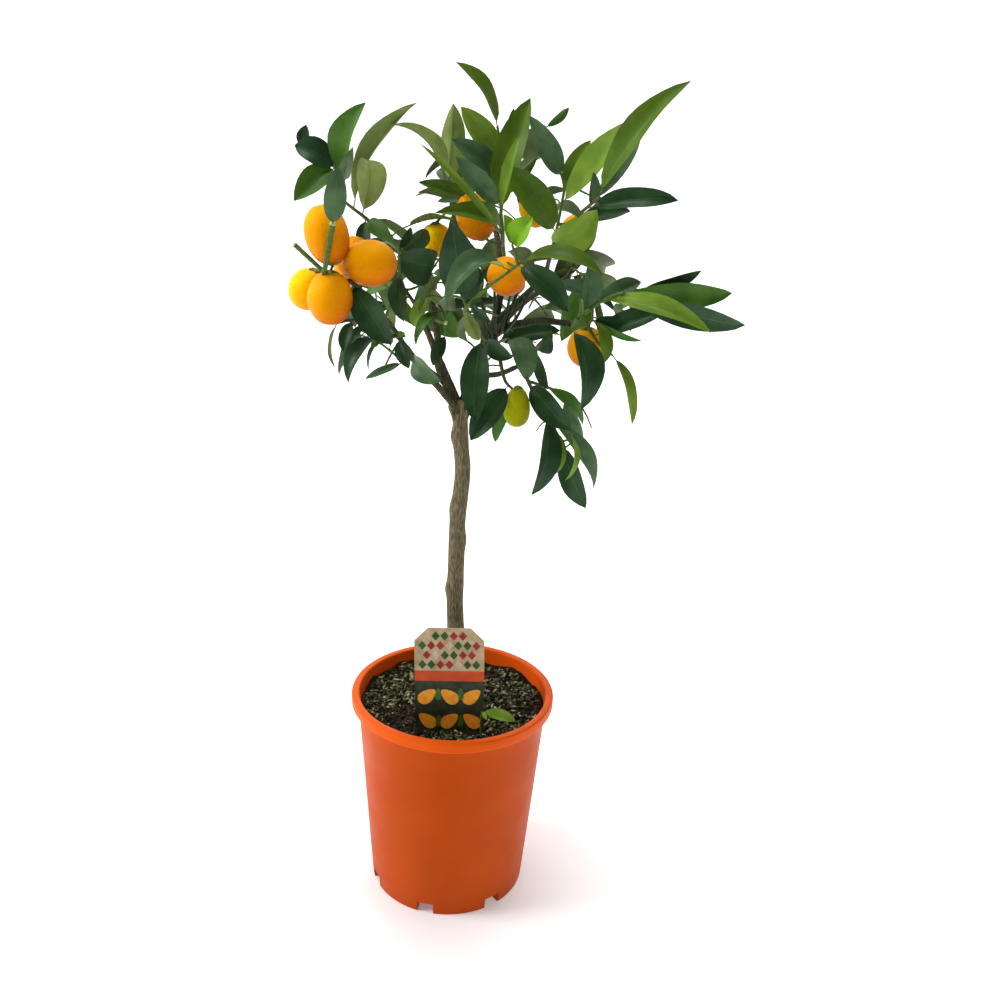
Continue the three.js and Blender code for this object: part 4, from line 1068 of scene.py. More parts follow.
def add_leaf(crown, tops, undersides, leaf, draw):
    rows = leaf_points(leaf, draw)
    middle = LEAF_COLUMNS // 2
    top = []
    low = []
    uvs = []
    for row, line in enumerate(rows):
        for column, (point, lift) in enumerate(line):
            u = 2 * column / LEAF_COLUMNS - 1
            half = LEAF_THICKNESS / 2 * (1 - u * u)
            groove = RIB_GROOVE if column == middle else 0
            top.append(point + lift * (half - groove))
            low.append(point - lift * half)
            uvs.append((column / LEAF_COLUMNS, row / LEAF_ROWS))
    faces = []
    for row in range(LEAF_ROWS):
        for column in range(LEAF_COLUMNS):
            a = row * (LEAF_COLUMNS + 1) + column
            b = a + LEAF_COLUMNS + 1
            if column < middle:
                faces += [(a, b, b + 1), (a, b + 1, a + 1)]
            else:
                faces += [(a, b, a + 1), (a + 1, b, b + 1)]
    tops.add(top, [tuple(reversed(face)) for face in faces], uvs)
    undersides.add(low, faces, uvs)
    add_rib(crown.meshes["leaf_ribs"], rows, middle, leaf.length)
    add_stalk(crown.meshes["leaf_stalks"], leaf.base, rows[0][middle][0], leaf.axis)


def add_rib(ribs, rows, middle, length):
    """A midrib: a low line in the groove above and a raised line below, thinner towards the tip."""
    for sign, height, breadth, sink in ((1, 0.06, 0.42, RIB_GROOVE), (-1, 0.32, 0.6, 0)):
        points = []
        for row, line in enumerate(rows[:-1]):
            centre, lift = line[middle]
            across = (line[middle + 1][0] - line[middle - 1][0]).normalized()
            half = RIB_WIDTH * (0.5 + length / 160) * (1 - 0.75 * row / LEAF_ROWS) * breadth
            lifted = centre + lift * sign * (LEAF_THICKNESS / 2 + height - sink)
            edge = lift * sign * height * 0.8
            points += [lifted - across * half - edge, lifted, lifted + across * half - edge]
        faces = []
        for a in range(0, 3 * (len(rows) - 2), 3):
            for k in (a, a + 1):
                face = (k, k + 1, k + 4, k + 3)
                faces.append(face if sign > 0 else tuple(reversed(face)))
        ribs.add(points, faces)


def add_stalk(stalks, base, blade, axis):
    points = [base, base.lerp(blade, 0.5), blade + axis * 0.6]
    waist = 0.8 * math.pi
    add_limb(
        stalks, points, lambda share, *_: STALK_RADIUS * (1.15 - 0.45 * math.sin(waist * share)), 5, 4)


# Growth: each mass has its stem, twigs, fruit and leaves, then sprigs spread evenly in its space

def crown_materials():
    """The material of each piece of the crown, in the order in which the pieces are built."""
    materials = {}
    for name, *look in TONES.values():
        materials["leaves_" + name] = leaf_material("leaves_" + name, *look)
    for name, look in UNDERSIDES.items():
        materials[name] = leaf_material(name, *look)
    materials["leaf_ribs"] = mottled_material("leaf_ribs")
    materials["leaf_stalks"] = mottled_material("leaf_stalks")
    materials["twigs_green"] = materials["leaf_stalks"]
    materials["twigs_dark"] = mottled_material("young_stems")
    materials["twigs_brown"] = bark_material("twig_bark")
    for name, *look in SKINS.values():
        materials["fruits_" + name] = fruit_material("fruit_" + name, *look)
    materials["twig_cut_ends"] = mottled_material("cut_wood")
    materials["fruit_calyxes"] = mottled_material("calyx")
    return materials


class Crown:
    """Everything that has grown: a mesh for each piece, and the tests that keep leaves apart."""

    def __init__(self):
        self.materials = crown_materials()
        self.meshes = {piece: Joined() for piece in self.materials}
        self.shapes = []
        self.sights = []

    def tops(self, tone):
        return self.meshes["leaves_" + TONES[tone][0]]

    def is_clear(self, shape):
        return not any(
            boxes_meet(shape, other) and shape[2].overlap(other[2]) for other in self.shapes
        )

    def hides_a_sight(self, shape):
        return any(
            shape[2].ray_cast(start, way, reach)[0] is not None for start, way, reach in self.sights
        )

    def keep_in_sight(self, point):
        start = Vector(CAMERA_PLACE)
        way = Vector(point) - start
        self.sights.append((start, way.normalized(), way.length))


def test_shape(points, faces):
    low = [min(point[axis] for point in points) for axis in range(3)]
    high = [max(point[axis] for point in points) for axis in range(3)]
    return low, high, BVHTree.FromPolygons(points, faces)


def boxes_meet(a, b):
    return all(a[0][axis] < b[1][axis] and b[0][axis] < a[1][axis] for axis in range(3))


def leaf_test_shape(leaf):
    """A plain leaf of eight faces, a little wider than the real one."""
    normal = square_to(leaf.axis, leaf.upper)
    side = normal.cross(leaf.axis)
    points = []
    for share, breadth in TEST_LEAF:
        centre = spine_point(leaf, normal, share)
        half = leaf.width / 2 * breadth + 0.3
        rise = half * 0.28
        points += [centre + side * half + normal * rise, centre, centre - side * half + normal * rise]
    faces = [(k, k + 1, k + 4, k + 3) for row in range(4) for k in (3 * row, 3 * row + 1)]
    return test_shape(points, faces)


def limb_test_shape(points, radius):
    joined = Joined()
    add_limb(joined, points, lambda *_: radius, 5, 3 * (len(points) - 1))
    return test_shape(joined.points, joined.faces)


def grow_twig(joined, points, start_radius, end_radius, sides=8):
    """A twig with a slight swelling at each bud. It returns the line that others grow from."""
    line = straight_pieces(points, TWIG_STEPS)

    def radius_at(share, angle, centre):
        bud = 0.12 * math.exp(-(((share * 5) % 1) - 0.5) ** 2 / 0.008)
        return mix(start_radius, end_radius, share) * (1 + bud)
    add_limb(joined, line, radius_at, sides, 8 * (len(line) - 1))
    return line


def add_cut_end(joined, line, radius):
    """The pale wood that shows where a twig was cut, a little wider than the twig."""
    end = Vector(line[-1])
    way = (end - Vector(line[-2])).normalized()
    points = [end - way * 0.8, end, end + way * 0.5]
    add_limb(joined, points, lambda share, *_: radius * (1.15 - 0.2 * share), 10, 4)


def start_mass(crown, plan):
    mass = {"plan": plan, "random": seeded_random(plan["seed"]), "shape": seeded_random(plan["seed"] + 500)}
    bough = BOUGHS[plan["bough"]][0]
    tip = Vector(bough[-1])
    onward = (tip - along(bough, 0.95)).normalized()
    stem = [tip + onward * STEM_START, *plan["stem"]]
    green = crown.meshes["twigs_green"]
    brown = crown.meshes["twigs_brown"]
    young = plan["name"] in GREEN_STEMS
    radius = GREEN_STEM_RADIUS if young else STEM_RADIUS
    lines = [grow_twig(green if young else brown, stem, radius, STEM_TIP_RADIUS)]
    joint = [tip - onward * STEM_SEAT, tip, stem[0]]
    grow_twig(brown, joint, STEM_RADIUS, STEM_RADIUS * 1.1)
    for parent, share, points in plan["twigs"]:
        points = [on_line(lines[parent], share), *points]
        cut_radius = CUT_TWIGS.get((plan["name"], len(lines)))
        if cut_radius:
            lines.append(grow_twig(green, points, cut_radius * 0.8, cut_radius))
            add_cut_end(crown.meshes["twig_cut_ends"], lines[-1], cut_radius)
        else:
            lines.append(grow_twig(green, points, TWIG_RADIUS, TWIG_TIP_RADIUS))
    mass["lines"] = lines
    return mass


def grow_fruit(crown, mass, letter, row):
    x, y, z, length, width, turn, lean, twig, share = row
    skin = "fruits_" + SKINS[letter][0]
    centre = Vector((x, y, z))
    axis = direction(turn, lean)
    start = on_line(mass["lines"][twig], share)
    crown_end = centre - axis * (length * FRUIT_STALK_END)
    bend = start.lerp(crown_end, 0.55) - axis * 1.5
    stalk = [start, bend, crown_end]
    add_limb(crown.meshes["twigs_green"], stalk, lambda part, *_: 0.9 + 0.7 * part ** 6, 8, 10)
    pear = GREEN_FRUIT_PEAR if skin == "fruits_green" else 0.0
    add_fruit(crown.meshes[skin], centre, axis, length, width, pear, mass["shape"])
    calyx_place = centre - axis * (length * CALYX_PLACE)
    add_calyx(crown.meshes["fruit_calyxes"], calyx_place, axis, width * CALYX_SHARE)
    normal, side = frame_round(axis)
    rings = []
    for k in range(6):
        polar = math.pi * (0.04 + 0.92 * k / 5)
        middle = centre - axis * (length / 2 * math.cos(polar))
        rings.append(ring_round(middle, normal, side, 8, lambda angle: width / 2 * math.sin(polar)))
    shape = Joined()
    add_rings(shape, rings)
    crown.shapes.append(test_shape(shape.points, shape.faces))
    for along_fruit, across_fruit in FRUIT_SIGHTS:
        crown.keep_in_sight(centre + axis * length * along_fruit + normal * width * across_fruit)


def add_fruit(joined, centre, axis, length, width, pear, draw):
    """An oval fruit with a dimple round its stalk and a small scar at its tip."""
    normal, side = frame_round(axis)
    pattern = Vector((3 + draw(), 0, 0))
    rings = []
    for k in range(1, FRUIT_RINGS):
        polar = math.pi * k / FRUIT_RINGS
        reach = -math.cos(polar)
        dimple = 0.075 * math.exp(-((polar / 0.28) ** 2))
        scar = 0.03 * math.exp(-(((math.pi - polar) / 0.13) ** 2))
        middle = centre + axis * (length / 2 * (reach * (1 - scar) + dimple * 1.6))
        radius = width / 2 * math.sin(polar) ** 0.92 * (1 + pear * (reach - 0.1))

        def lumpy_radius(angle):
            way = normal * math.cos(angle) + side * math.sin(angle)
            return radius * (1 + 0.012 * noise.noise((middle + way * radius) * 0.09 + pattern))
        rings.append(ring_round(middle, normal, side, FRUIT_SIDES, lumpy_radius))
    add_rings(joined, rings)


def add_calyx(joined, place, axis, radius):
    """Five blunt lobes that lie on the fruit round its stalk."""
    normal, side = frame_round(axis)
    rings = []
    for height, share in CALYX_SECTION:
        middle = place + axis * (height + 0.35 * share * share)
        rings.append(ring_round(middle, normal, side, CALYX_SIDES, lambda angle: (
            radius * share * (1 + 0.28 * share * math.cos(5 * angle)))))
    add_rings(joined, rings)


def grow_listed_leaves(crown, mass):
    """The leaves of the table. One that would cut through something is turned a little."""
    plan = mass["plan"]
    nudges = sorted(
        ((turn, lean) for turn in NUDGES for lean in NUDGES),
        key=lambda nudge: math.hypot(nudge[0] * TURN_WEIGHT, nudge[1]),
    )
    for tone, (twig, share, turn, lean, length, width, roll, arch) in zip(plan["tones"], plan["leaves"]):
        base = on_line(mass["lines"][twig], share)
        chosen = None
        for turn_more, lean_more in nudges:
            axis = direction(turn + turn_more, lean + lean_more)
            upper = turned(square_to(axis, -BACK), axis, roll)
            leaf = Leaf(base, axis, upper, length, width, arch)
            shape = leaf_test_shape(leaf)
            is_clear = crown.is_clear(shape)
            if chosen is None or is_clear:
                chosen = leaf, shape
            if is_clear:
                break
        leaf, shape = chosen
        crown.shapes.append(shape)
        sides = (crown.tops(tone), crown.meshes["leaf_undersides"])
        if plan["name"].startswith("foliage_back"):
            sides = (crown.meshes["shaded_undersides"], crown.tops(tone))
        add_leaf(crown, *sides, leaf, mass["shape"])
        for part in LEAF_SIGHTS:
            crown.keep_in_sight(base + leaf.axis * length * part)


def is_inside(point, space, margin):
    centre, radii = space
    return math.sqrt(sum(((point[a] - centre[a]) / radii[a]) ** 2 for a in range(3))) < margin


def nearest_on_twigs(mass, target):
    spots = [on_line(line, k / 10) for line in mass["lines"] for k in range(2, 11)]
    return min(spots, key=lambda spot: (spot - target).length)


def grow_sprig(crown, mass, index, count, sprig):
    """One sprig towards its share of the mass's space, left out where something is in its way."""
    centre, radii = mass["plan"]["space"]
    draw = mass["random"]
    height = 1 - 2 * (index + 0.5) / count
    turn = math.radians(GOLDEN_ANGLE * index + SPRIG_TURN_SPREAD * draw() + sprig.first_turn)
    flat = math.sqrt(1 - height * height)
    reach = SPRIG_REACH + SPRIG_REACH_SPREAD * draw() + sprig.more_reach
    target = Vector((
        centre[0] + radii[0] * reach * flat * math.cos(turn),
        centre[1] + radii[1] * reach * flat * math.sin(turn),
        centre[2] + radii[2] * reach * height,
    ))
    start = nearest_on_twigs(mass, target)
    way = target - start
    way = way.normalized() * max(SPRIG_SHORTEST, min(SPRIG_LENGTH, way.length))
    tip = start + way
    middle = start + way * 0.5
    middle.z += SPRIG_RISE * way.length
    test = limb_test_shape([start.lerp(tip, 0.2), middle, tip], SPRIG_TEST_RADIUS)
    if not crown.is_clear(test) or (sprig is FINE_SPRIGS and crown.hides_a_sight(test)):
        return
    points = [start, middle, tip]
    grow_twig(crown.meshes["twigs_green"], points, sprig.radius, sprig.tip_radius, 6)
    line = straight_pieces(points, 1)
    mass["lines"].append(line)
    grow_rule_leaves(crown, mass, line, way.normalized(), sprig)


def grow_rule_leaves(crown, mass, line, axis, sprig):
    """Leaves in a spiral along a sprig, left out where they would cut or hide something."""
    draw = mass["random"]
    space = mass["plan"]["space"]
    across = square_to(axis, UP)
    last = sprig.leaves - 1
    for k in range(sprig.leaves):
        base = on_line(line, FIRST_LEAF_SHARE + (1 - FIRST_LEAF_SHARE) * k / last)
        spread = math.radians(LAST_LEAF_SPREAD if k == last else LEAF_SPREAD)
        around = turned(across, axis, GOLDEN_ANGLE * k + LEAF_TURN_SPREAD * draw())
        heading = axis * math.cos(spread) + around * math.sin(spread)
        heading.z -= LEAF_DROOP
        heading.normalize()
        upper = UP + (base - Vector(space[0])).normalized() * 0.8
        length = sprig.leaf_length * (0.75 + 0.5 * draw())
        leaf = Leaf(base, heading, upper, length, length * RULE_LEAF_WIDTH, LEAF_ARCH)
        shape = leaf_test_shape(leaf)
        if not is_inside(base + heading * length, space, LEAF_TIP_MARGIN):
            continue
        if crown.is_clear(shape) and not crown.hides_a_sight(shape):
            tone = RULE_TONES[int(len(RULE_TONES) * mass["shape"]())]
            crown.shapes.append(shape)
            add_leaf(crown, crown.tops(tone), crown.meshes["shaded_undersides"], leaf, mass["shape"])


def keep_open(crown, centre, half_width, half_height):
    """Lines of sight from the camera through an opening and out behind the crown."""
    start = Vector(CAMERA_PLACE)
    for share in (0, 0.5, 1):
        for ray in range(OPENING_RAYS if share else 1):
            angle = 2 * math.pi * (ray + share) / OPENING_RAYS
            across = half_width * share * math.cos(angle)
            rise = half_height * share * math.sin(angle)
            through = Vector(centre) + Vector((across, 0, rise))
            crown.keep_in_sight(start + (through - start) * BEHIND_CROWN)


def grow_fan(crown):
    for points in FAN_STEMS:
        grow_twig(crown.meshes["twigs_dark"], points, FAN_RADIUS, 0.6 * FAN_RADIUS)
    for points in STUBS:
        grow_twig(crown.meshes["twigs_green"], points, STUB_RADIUS, STUB_RADIUS)
        add_cut_end(crown.meshes["twig_cut_ends"], points, STUB_RADIUS)


def grow_seedling(crown):
    """A small sprout in the soil beside the label."""
    draw = seeded_random(33)
    foot = (*SEEDLING_FOOT, soil_surface(*SEEDLING_FOOT) - 2)
    grow_twig(crown.meshes["twigs_green"], [foot, *SEEDLING_LINE], 0.9, 0.6)
    for turn, lean, length, width in SEEDLING_LEAVES:
        leaf = Leaf(
            Vector(SEEDLING_LEAF_BASE), direction(turn, lean), Vector((0, -1, 0.9)), length, width, 0.1)
        add_leaf(crown, crown.tops("b"), crown.meshes["leaf_undersides"], leaf, draw)


def grow_crown():
    crown = Crown()
    crown.shapes.append(limb_test_shape(TRUNK_PATH, TRUNK_FOOT_RADIUS))
    for points, _, end_radius in BOUGHS.values():
        crown.shapes.append(limb_test_shape(points, end_radius + 0.5))
    for opening in OPENINGS:
        keep_open(crown, *opening)
    masses = [start_mass(crown, plan) for plan in MASSES]
    for mass in masses:
        for letter, row in zip(mass["plan"]["ripeness"], mass["plan"]["fruits"]):
            grow_fruit(crown, mass, letter, row)
    for mass in masses:
        grow_listed_leaves(crown, mass)
    for sprig in (MAIN_SPRIGS, FINE_SPRIGS):
        for mass in masses:
            count = round(sprig.per_listed * mass["plan"]["sprigs"])
            for index in range(count):
                grow_sprig(crown, mass, index, count, sprig)
    grow_fan(crown)
    grow_seedling(crown)
    return crown


def build_crown(crown):
    masses = tuple(plan["name"] for plan in MASSES)
    for piece, material in crown.materials.items():
        joined_piece(piece, crown.meshes[piece], material, masses)


# Pot

def wall_radius(height):
    return mix(BASE_RADIUS, RIM_RADIUS - LIP_OVERHANG, height / POT_HEIGHT)


def corner(centre_r, centre_z, radius, start, end, steps=5):
    points = []
    for k in range(steps + 1):
        angle = math.radians(mix(start, end, k / steps))
        points.append((centre_r + radius * math.cos(angle), centre_z + radius * math.sin(angle)))
    return points


def pot_profile():
    """The pot's section from the middle of its underside, up outside, and down inside."""
    lip_foot = POT_HEIGHT - LIP_HEIGHT
    inner = wall_radius(POT_HEIGHT) - WALL
    floor = CHANNEL_HEIGHT + WALL
    r = LIP_ROUNDING
    profile = [
        (0, 0), (CHANNEL_INNER, 0), (CHANNEL_INNER + CHANNEL_SLOPE, CHANNEL_HEIGHT),
        (CHANNEL_OUTER - CHANNEL_SLOPE, CHANNEL_HEIGHT), (CHANNEL_OUTER, 0),
    ]
    profile += corner(BASE_RADIUS - FOOT_ROUNDING, FOOT_ROUNDING, FOOT_ROUNDING, -90, 0)
    for k in range(1, WALL_STEPS):
        height = lip_foot * k / WALL_STEPS
        profile.append((wall_radius(height), height))
    profile += corner(wall_radius(lip_foot) + LIP_FILLET, lip_foot - LIP_FILLET, LIP_FILLET, 180, 90)
    profile += corner(RIM_RADIUS - r, lip_foot + r, r, -90, 0)
    profile += corner(RIM_RADIUS - r, POT_HEIGHT - r, r, 0, 90)
    profile += corner(inner + r, POT_HEIGHT - r, r, 90, 180)
    for k in range(1, INNER_STEPS + 1):
        height = POT_HEIGHT - r - (POT_HEIGHT - r - floor) * k / INNER_STEPS
        profile.append((wall_radius(height) - WALL, height))
    profile += [(CHANNEL_INNER, floor), (CHANNEL_INNER - CHANNEL_SLOPE, WALL), (0, WALL)]
    return profile


def turned_object(name, profile, sides):
    """A closed turned shape; a profile point on the axis is one shared corner."""
    shape = bmesh.new()
    rings = []
    for radius, height in profile:
        middle = Vector((0, 0, height))
        ring = ring_round(middle, EAST, BACK, sides, lambda angle: radius) if radius else [middle]
        rings.append([shape.verts.new(point * MM) for point in ring])
    for low, high in zip(rings, rings[1:]):
        for s in range(sides):
            t = (s + 1) % sides
            if len(low) == 1:
                shape.faces.new((low[0], high[t], high[s]))
            elif len(high) == 1:
                shape.faces.new((low[s], low[t], high[0]))
            else:
                shape.faces.new((low[s], low[t], high[t], high[s]))
    bmesh.ops.recalc_face_normals(shape, faces=shape.faces)
    return object_from_shape(name, shape)


def notch_cutter():
    shape = bmesh.new()
    height = CHANNEL_HEIGHT - 1
    start = CHANNEL_OUTER - 2 * CHANNEL_SLOPE
    depth = BASE_RADIUS - start + NOTCH_MARGIN
    for k in range(NOTCH_COUNT):
        made = bmesh.ops.create_cube(shape, size=MM)["verts"]
        turn = Matrix.Rotation(math.radians(FIRST_NOTCH_ANGLE + 360 / NOTCH_COUNT * k), 4, "Z")
        place = Matrix.Translation(BACK * -(start + depth / 2) * MM)
        size = Matrix.Diagonal((NOTCH_WIDTH, depth, 2 * height, 1))
        bmesh.ops.transform(shape, matrix=turn @ place @ size, verts=made)
    return object_from_shape("notches", shape)


def cut_notches(pot):
    cutter = notch_cutter()
    cut = pot.modifiers.new("notches", "BOOLEAN")
    cut.operation = "DIFFERENCE"
    cut.solver = "EXACT"
    cut.object = cutter
    depsgraph = bpy.context.evaluated_depsgraph_get()
    mesh = bpy.data.meshes.new_from_object(pot.evaluated_get(depsgraph))
    pot.modifiers.clear()
    pot.data = mesh
    bpy.data.objects.remove(cutter)


def belongs_to_rim(centre):
    """The lip and the inside, whose plastic is lighter than the wall's as painted light."""
    height = centre.z / MM
    inside = math.hypot(centre.x, centre.y) / MM < wall_radius(height) - WALL / 2
    return height > POT_HEIGHT - LIP_HEIGHT - 0.1 or (inside and height > CHANNEL_HEIGHT + 2 * WALL)


def split_off(obj, name, belongs):
    """Move the faces that belong to another piece into an object of their own."""
    other = new_object(name, obj.data.copy())
    for piece, kept in ((obj, False), (other, True)):
        shape = bmesh.new()
        shape.from_mesh(piece.data)
        extra = [face for face in shape.faces if belongs(face.calc_center_median()) != kept]
        bmesh.ops.delete(shape, geom=extra, context="FACES")
        shape.to_mesh(piece.data)
        shape.free()
    return other


def build_pot():
    pot = turned_object("pot_body", pot_profile(), POT_SIDES)
    cut_notches(pot)
    # The lip and the inside get the lighter plastic of painted light
    rim = split_off(pot, "pot_rim", belongs_to_rim)
    smooth_by_angle(pot, SHARP_ANGLE)
    smooth_by_angle(rim, SHARP_ANGLE)
    finish_piece(pot, plastic_material("pot_plastic"), ("pot",))
    finish_piece(rim, plastic_material("lit_rim_plastic"))


# Soil

def soil_height(x, y):
    reach = math.hypot(x, y)
    rough = min(1, max(0, (reach - SOIL_FLAT_RADIUS) / SOIL_FLAT_RADIUS))
    mounds = math.sin(x * 0.11 + 1) * math.cos(y * 0.09) + 0.6 * math.sin((x + y) * 0.21)
    return SOIL_LEVEL + SOIL_ROUGHNESS * rough * (0.5 * mounds - 0.3)


def soil_surface(x, y):
    clods = noise.noise(Vector((x * 0.13, y * 0.13, 3)))
    crumbs = noise.noise(Vector((x * 0.4, y * 0.4, 9)))
    grit = noise.noise(Vector((x * 1.1, y * 1.1, 5)))
    rise = MOSS_RISE * min(1, max(0, (y - MOSS_START) / MOSS_RAMP))
    return soil_height(x, y) + rise + 2.4 * clods + 1.6 * crumbs + 0.7 * grit


def soil_radius(height):
    return wall_radius(height) - WALL - SOIL_GAP


def build_soil():
    """The top of the soil down to where the pot hides it, with its rough surface."""
    rings = []
    for depth in SOIL_SKIRT:
        level = SOIL_LEVEL - depth
        rings.append(ring_round(UP * level, EAST, BACK, SOIL_SIDES, lambda angle: soil_radius(level)))
    for k in range(SOIL_RINGS):
        reach = soil_radius(SOIL_LEVEL) * (1 - k / SOIL_RINGS)
        ring = ring_round(Vector(), EAST, BACK, SOIL_SIDES, lambda angle: reach)
        for point in ring:
            point.z = soil_surface(point.x, point.y)
        rings.append(ring)
    joined = Joined()
    add_rings(joined, rings)
    joined_piece("soil_top", joined, soil_material(), ("soil",))


def add_lump(joined, centre, size, longest, draw):
    """A small rough lump or chip, turned and stretched by chance."""
    turn = 6.28 * draw()
    lean = Matrix.Rotation(0.8 * (draw() - 0.5), 3, "X") @ Matrix.Rotation(turn, 3, "Z")
    stretch = mix(0.8, longest, draw())
    rings = []
    for k in range(1, 4):
        polar = math.pi * k / 4
        ring = []
        for s in range(5):
            angle = 2 * math.pi * s / 5 + 0.4 * draw()
            reach = size * math.sin(polar) * (0.8 + 0.4 * draw())
            spot = Vector((
                reach * stretch * math.cos(angle),
                reach * math.sin(angle),
                -0.8 * size * math.cos(polar),
            ))
            ring.append(centre + lean @ spot)
        rings.append(ring)
    add_rings(joined, rings)


def is_bare(x, y, reach):
    """Whether no litter lies here: by the wall, the trunk or the label."""
    by_trunk = math.hypot(x - TRUNK_PATH[0][0], y) < TRUNK_CLEARANCE
    by_label = abs(x) < LABEL_WIDTH / 2 + 3 and abs(y - LABEL_Y - 1.5) < 4
    return math.hypot(x, y) > reach or by_trunk or by_label


def litter_kind(x, y, pick):
    patch = noise.noise(Vector((x * 0.03, y * 0.03, 2)))
    is_brown = patch < -0.25 or math.hypot(x - BARE_PATCH[0], y - BARE_PATCH[1]) < BARE_PATCH_RADIUS
    if pick < CLODS_UP_TO:
        return "soil_clods"
    if is_brown and pick < CHIPS_UP_TO:
        return "soil_chips"
    return "soil_moss" if pick < MOSS_UP_TO else "soil_crumbs"


def build_soil_litter():
    """Clods, chips of bark, tufts of moss and dry pale crumbs that lie on the soil."""
    draw = seeded_random(71)
    materials = {
        "soil_clods": "soil_clods", "soil_chips": "bark_chips",
        "soil_moss": "soil_moss", "soil_crumbs": "soil_crumbs",
    }
    kinds = {piece: Joined() for piece in materials}
    reach = wall_radius(SOIL_LEVEL) - WALL - LITTER_MARGIN
    for k in range(LITTER_COUNT):
        angle = math.radians(GOLDEN_ANGLE * k)
        radius = reach * math.sqrt((k + 0.5) / LITTER_COUNT)
        x = radius * math.cos(angle) + 3 * (draw() - 0.5)
        y = radius * math.sin(angle) + 3 * (draw() - 0.5)
        if is_bare(x, y, reach):
            continue
        kind = litter_kind(x, y, draw())
        smallest, longest = (0.9, 1.6) if kind == "soil_clods" else (0.5, 4.0)
        size = smallest + draw() ** 2
        spot = Vector((x, y, soil_surface(x, y) + size * 0.5))
        add_lump(kinds[kind], spot, size, longest, draw)
    for piece, joined in kinds.items():
        joined_piece(piece, joined, mottled_material(materials[piece]))


# Label

def label_point(x, height, out):
    lean = math.radians(LABEL_LEAN)
    up = Vector((0, math.sin(lean), math.cos(lean)))
    front = Vector((0, -math.cos(lean), math.sin(lean)))
    turn = math.radians(LABEL_TURN)
    side = x * math.cos(turn) - height * math.sin(turn)
    rise = x * math.sin(turn) + height * math.cos(turn)
    return Vector((LABEL_X + side, LABEL_Y, LABEL_FOOT)) + up * rise + front * out


def flat_piece(name, outlines, back, front, material, replaced=()):
    """Flat plates on the label, between two distances from its middle."""
    joined = Joined()
    for outline in outlines:
        count = len(outline)
        points = [label_point(x, height, out) for out in (back, front) for x, height in outline]
        faces = [tuple(range(count, 2 * count)), tuple(reversed(range(count)))]
        for k in range(count):
            n = (k + 1) % count
            faces.append((k, n, n + count, k + count))
        joined.add(points, faces)
    piece = joined_piece(name, joined, mottled_material(material), replaced)
    set_smooth(piece.data, False)


def box_outline(left, low, right, high):
    return [(left, low), (right, low), (right, high), (left, high)]


def diamond(x, h, wide, tall):
    return [(x - wide, h), (x, h - tall), (x + wide, h), (x, h + tall)]


def petal(x, h, wide, tall, turn):
    points = []
    for k in range(14):
        angle = 2 * math.pi * k / 14
        a = tall * math.cos(angle)
        b = wide * math.sin(angle) * (1 - 0.35 * math.cos(angle))
        points.append((
            x + a * math.cos(turn) - b * math.sin(turn),
            h + a * math.sin(turn) + b * math.cos(turn),
        ))
    return points


def build_label():
    height = LABEL_TOP - LABEL_FOOT
    half = LABEL_WIDTH / 2
    face = LABEL_THICKNESS / 2
    top = [
        (half, height - LABEL_CHAMFER), (half - LABEL_CHAMFER, height),
        (-half + LABEL_CHAMFER, height), (-half, height - LABEL_CHAMFER),
    ]
    foot = [(-LABEL_FOOT_HALF, 0), (LABEL_FOOT_HALF, 0), (half, LABEL_SHOULDER)]
    card = [*foot, *top, (-half, LABEL_SHOULDER)]
    upper = [(-half, BAND_HIGH), (half, BAND_HIGH), *top]
    lower = box_outline(-half, LABEL_SHOULDER + 1, half, BAND_LOW)
    band = box_outline(-half, BAND_LOW, half, BAND_HIGH)
    flat_piece("label_plate", [card], -face, face, "label_card", ("label",))
    flat_piece("label_upper", [upper], face, face + PRINT_RISE, "label_sage")
    flat_piece("label_lower", [lower], face, face + PRINT_RISE, "label_dark")
    flat_piece("label_band", [band], face, face + BAND_RISE, "label_band")
    build_label_motifs(face + PRINT_RISE)


def build_label_motifs(face):
    """Rows of diamonds above the band, and petals with small leaves between them below it."""
    motifs = {"cream": [], "red": [], "green": [], "orange": [], "leaf": []}
    for row in range(4):
        for column in range(7):
            x = DIAMOND_START[0] + DIAMOND_STEP[0] * (column + row % 2 / 2)
            if abs(x) > 27 or (row == 3 and abs(x) > 19):
                continue
            colour = DIAMOND_COLOURS[(row + 2 * column) % len(DIAMOND_COLOURS)]
            motifs[colour].append(diamond(x, DIAMOND_START[1] + DIAMOND_STEP[1] * row, *DIAMOND_SIZE))
    for row in range(2):
        for column in range(3):
            turn = math.radians(40 if (row + column) % 2 else 140)
            x = PETAL_START[0] + PETAL_STEP[0] * column
            motifs["orange"].append(petal(x, PETAL_START[1] + PETAL_STEP[1] * row, *PETAL_SIZE, turn))
    motifs["leaf"] = [petal(*place, *LEAF_MOTIF_SIZE, math.radians(90)) for place in LEAF_MOTIF_PLACES]
    for colour, outlines in motifs.items():
        flat_piece("label_motifs_" + colour, outlines, face, face + MOTIF_RISE, "motif_" + colour)


# Floor, lights and camera

def add_glow(tree, shader):
    """The paper glows where the lights don't reach: in the pot's shadow and far away."""
    beside = vector_math(tree, "SUBTRACT", coordinate(tree), GLOW_CENTRE)
    away = vector_math(tree, "LENGTH", beside.outputs["Vector"])
    factor = value_math(tree, "MULTIPLY", away.outputs["Value"], GLOW_SCALE)
    drive_by_ramp(tree, shader.inputs["Emission Strength"], factor, GLOW_STOPS)


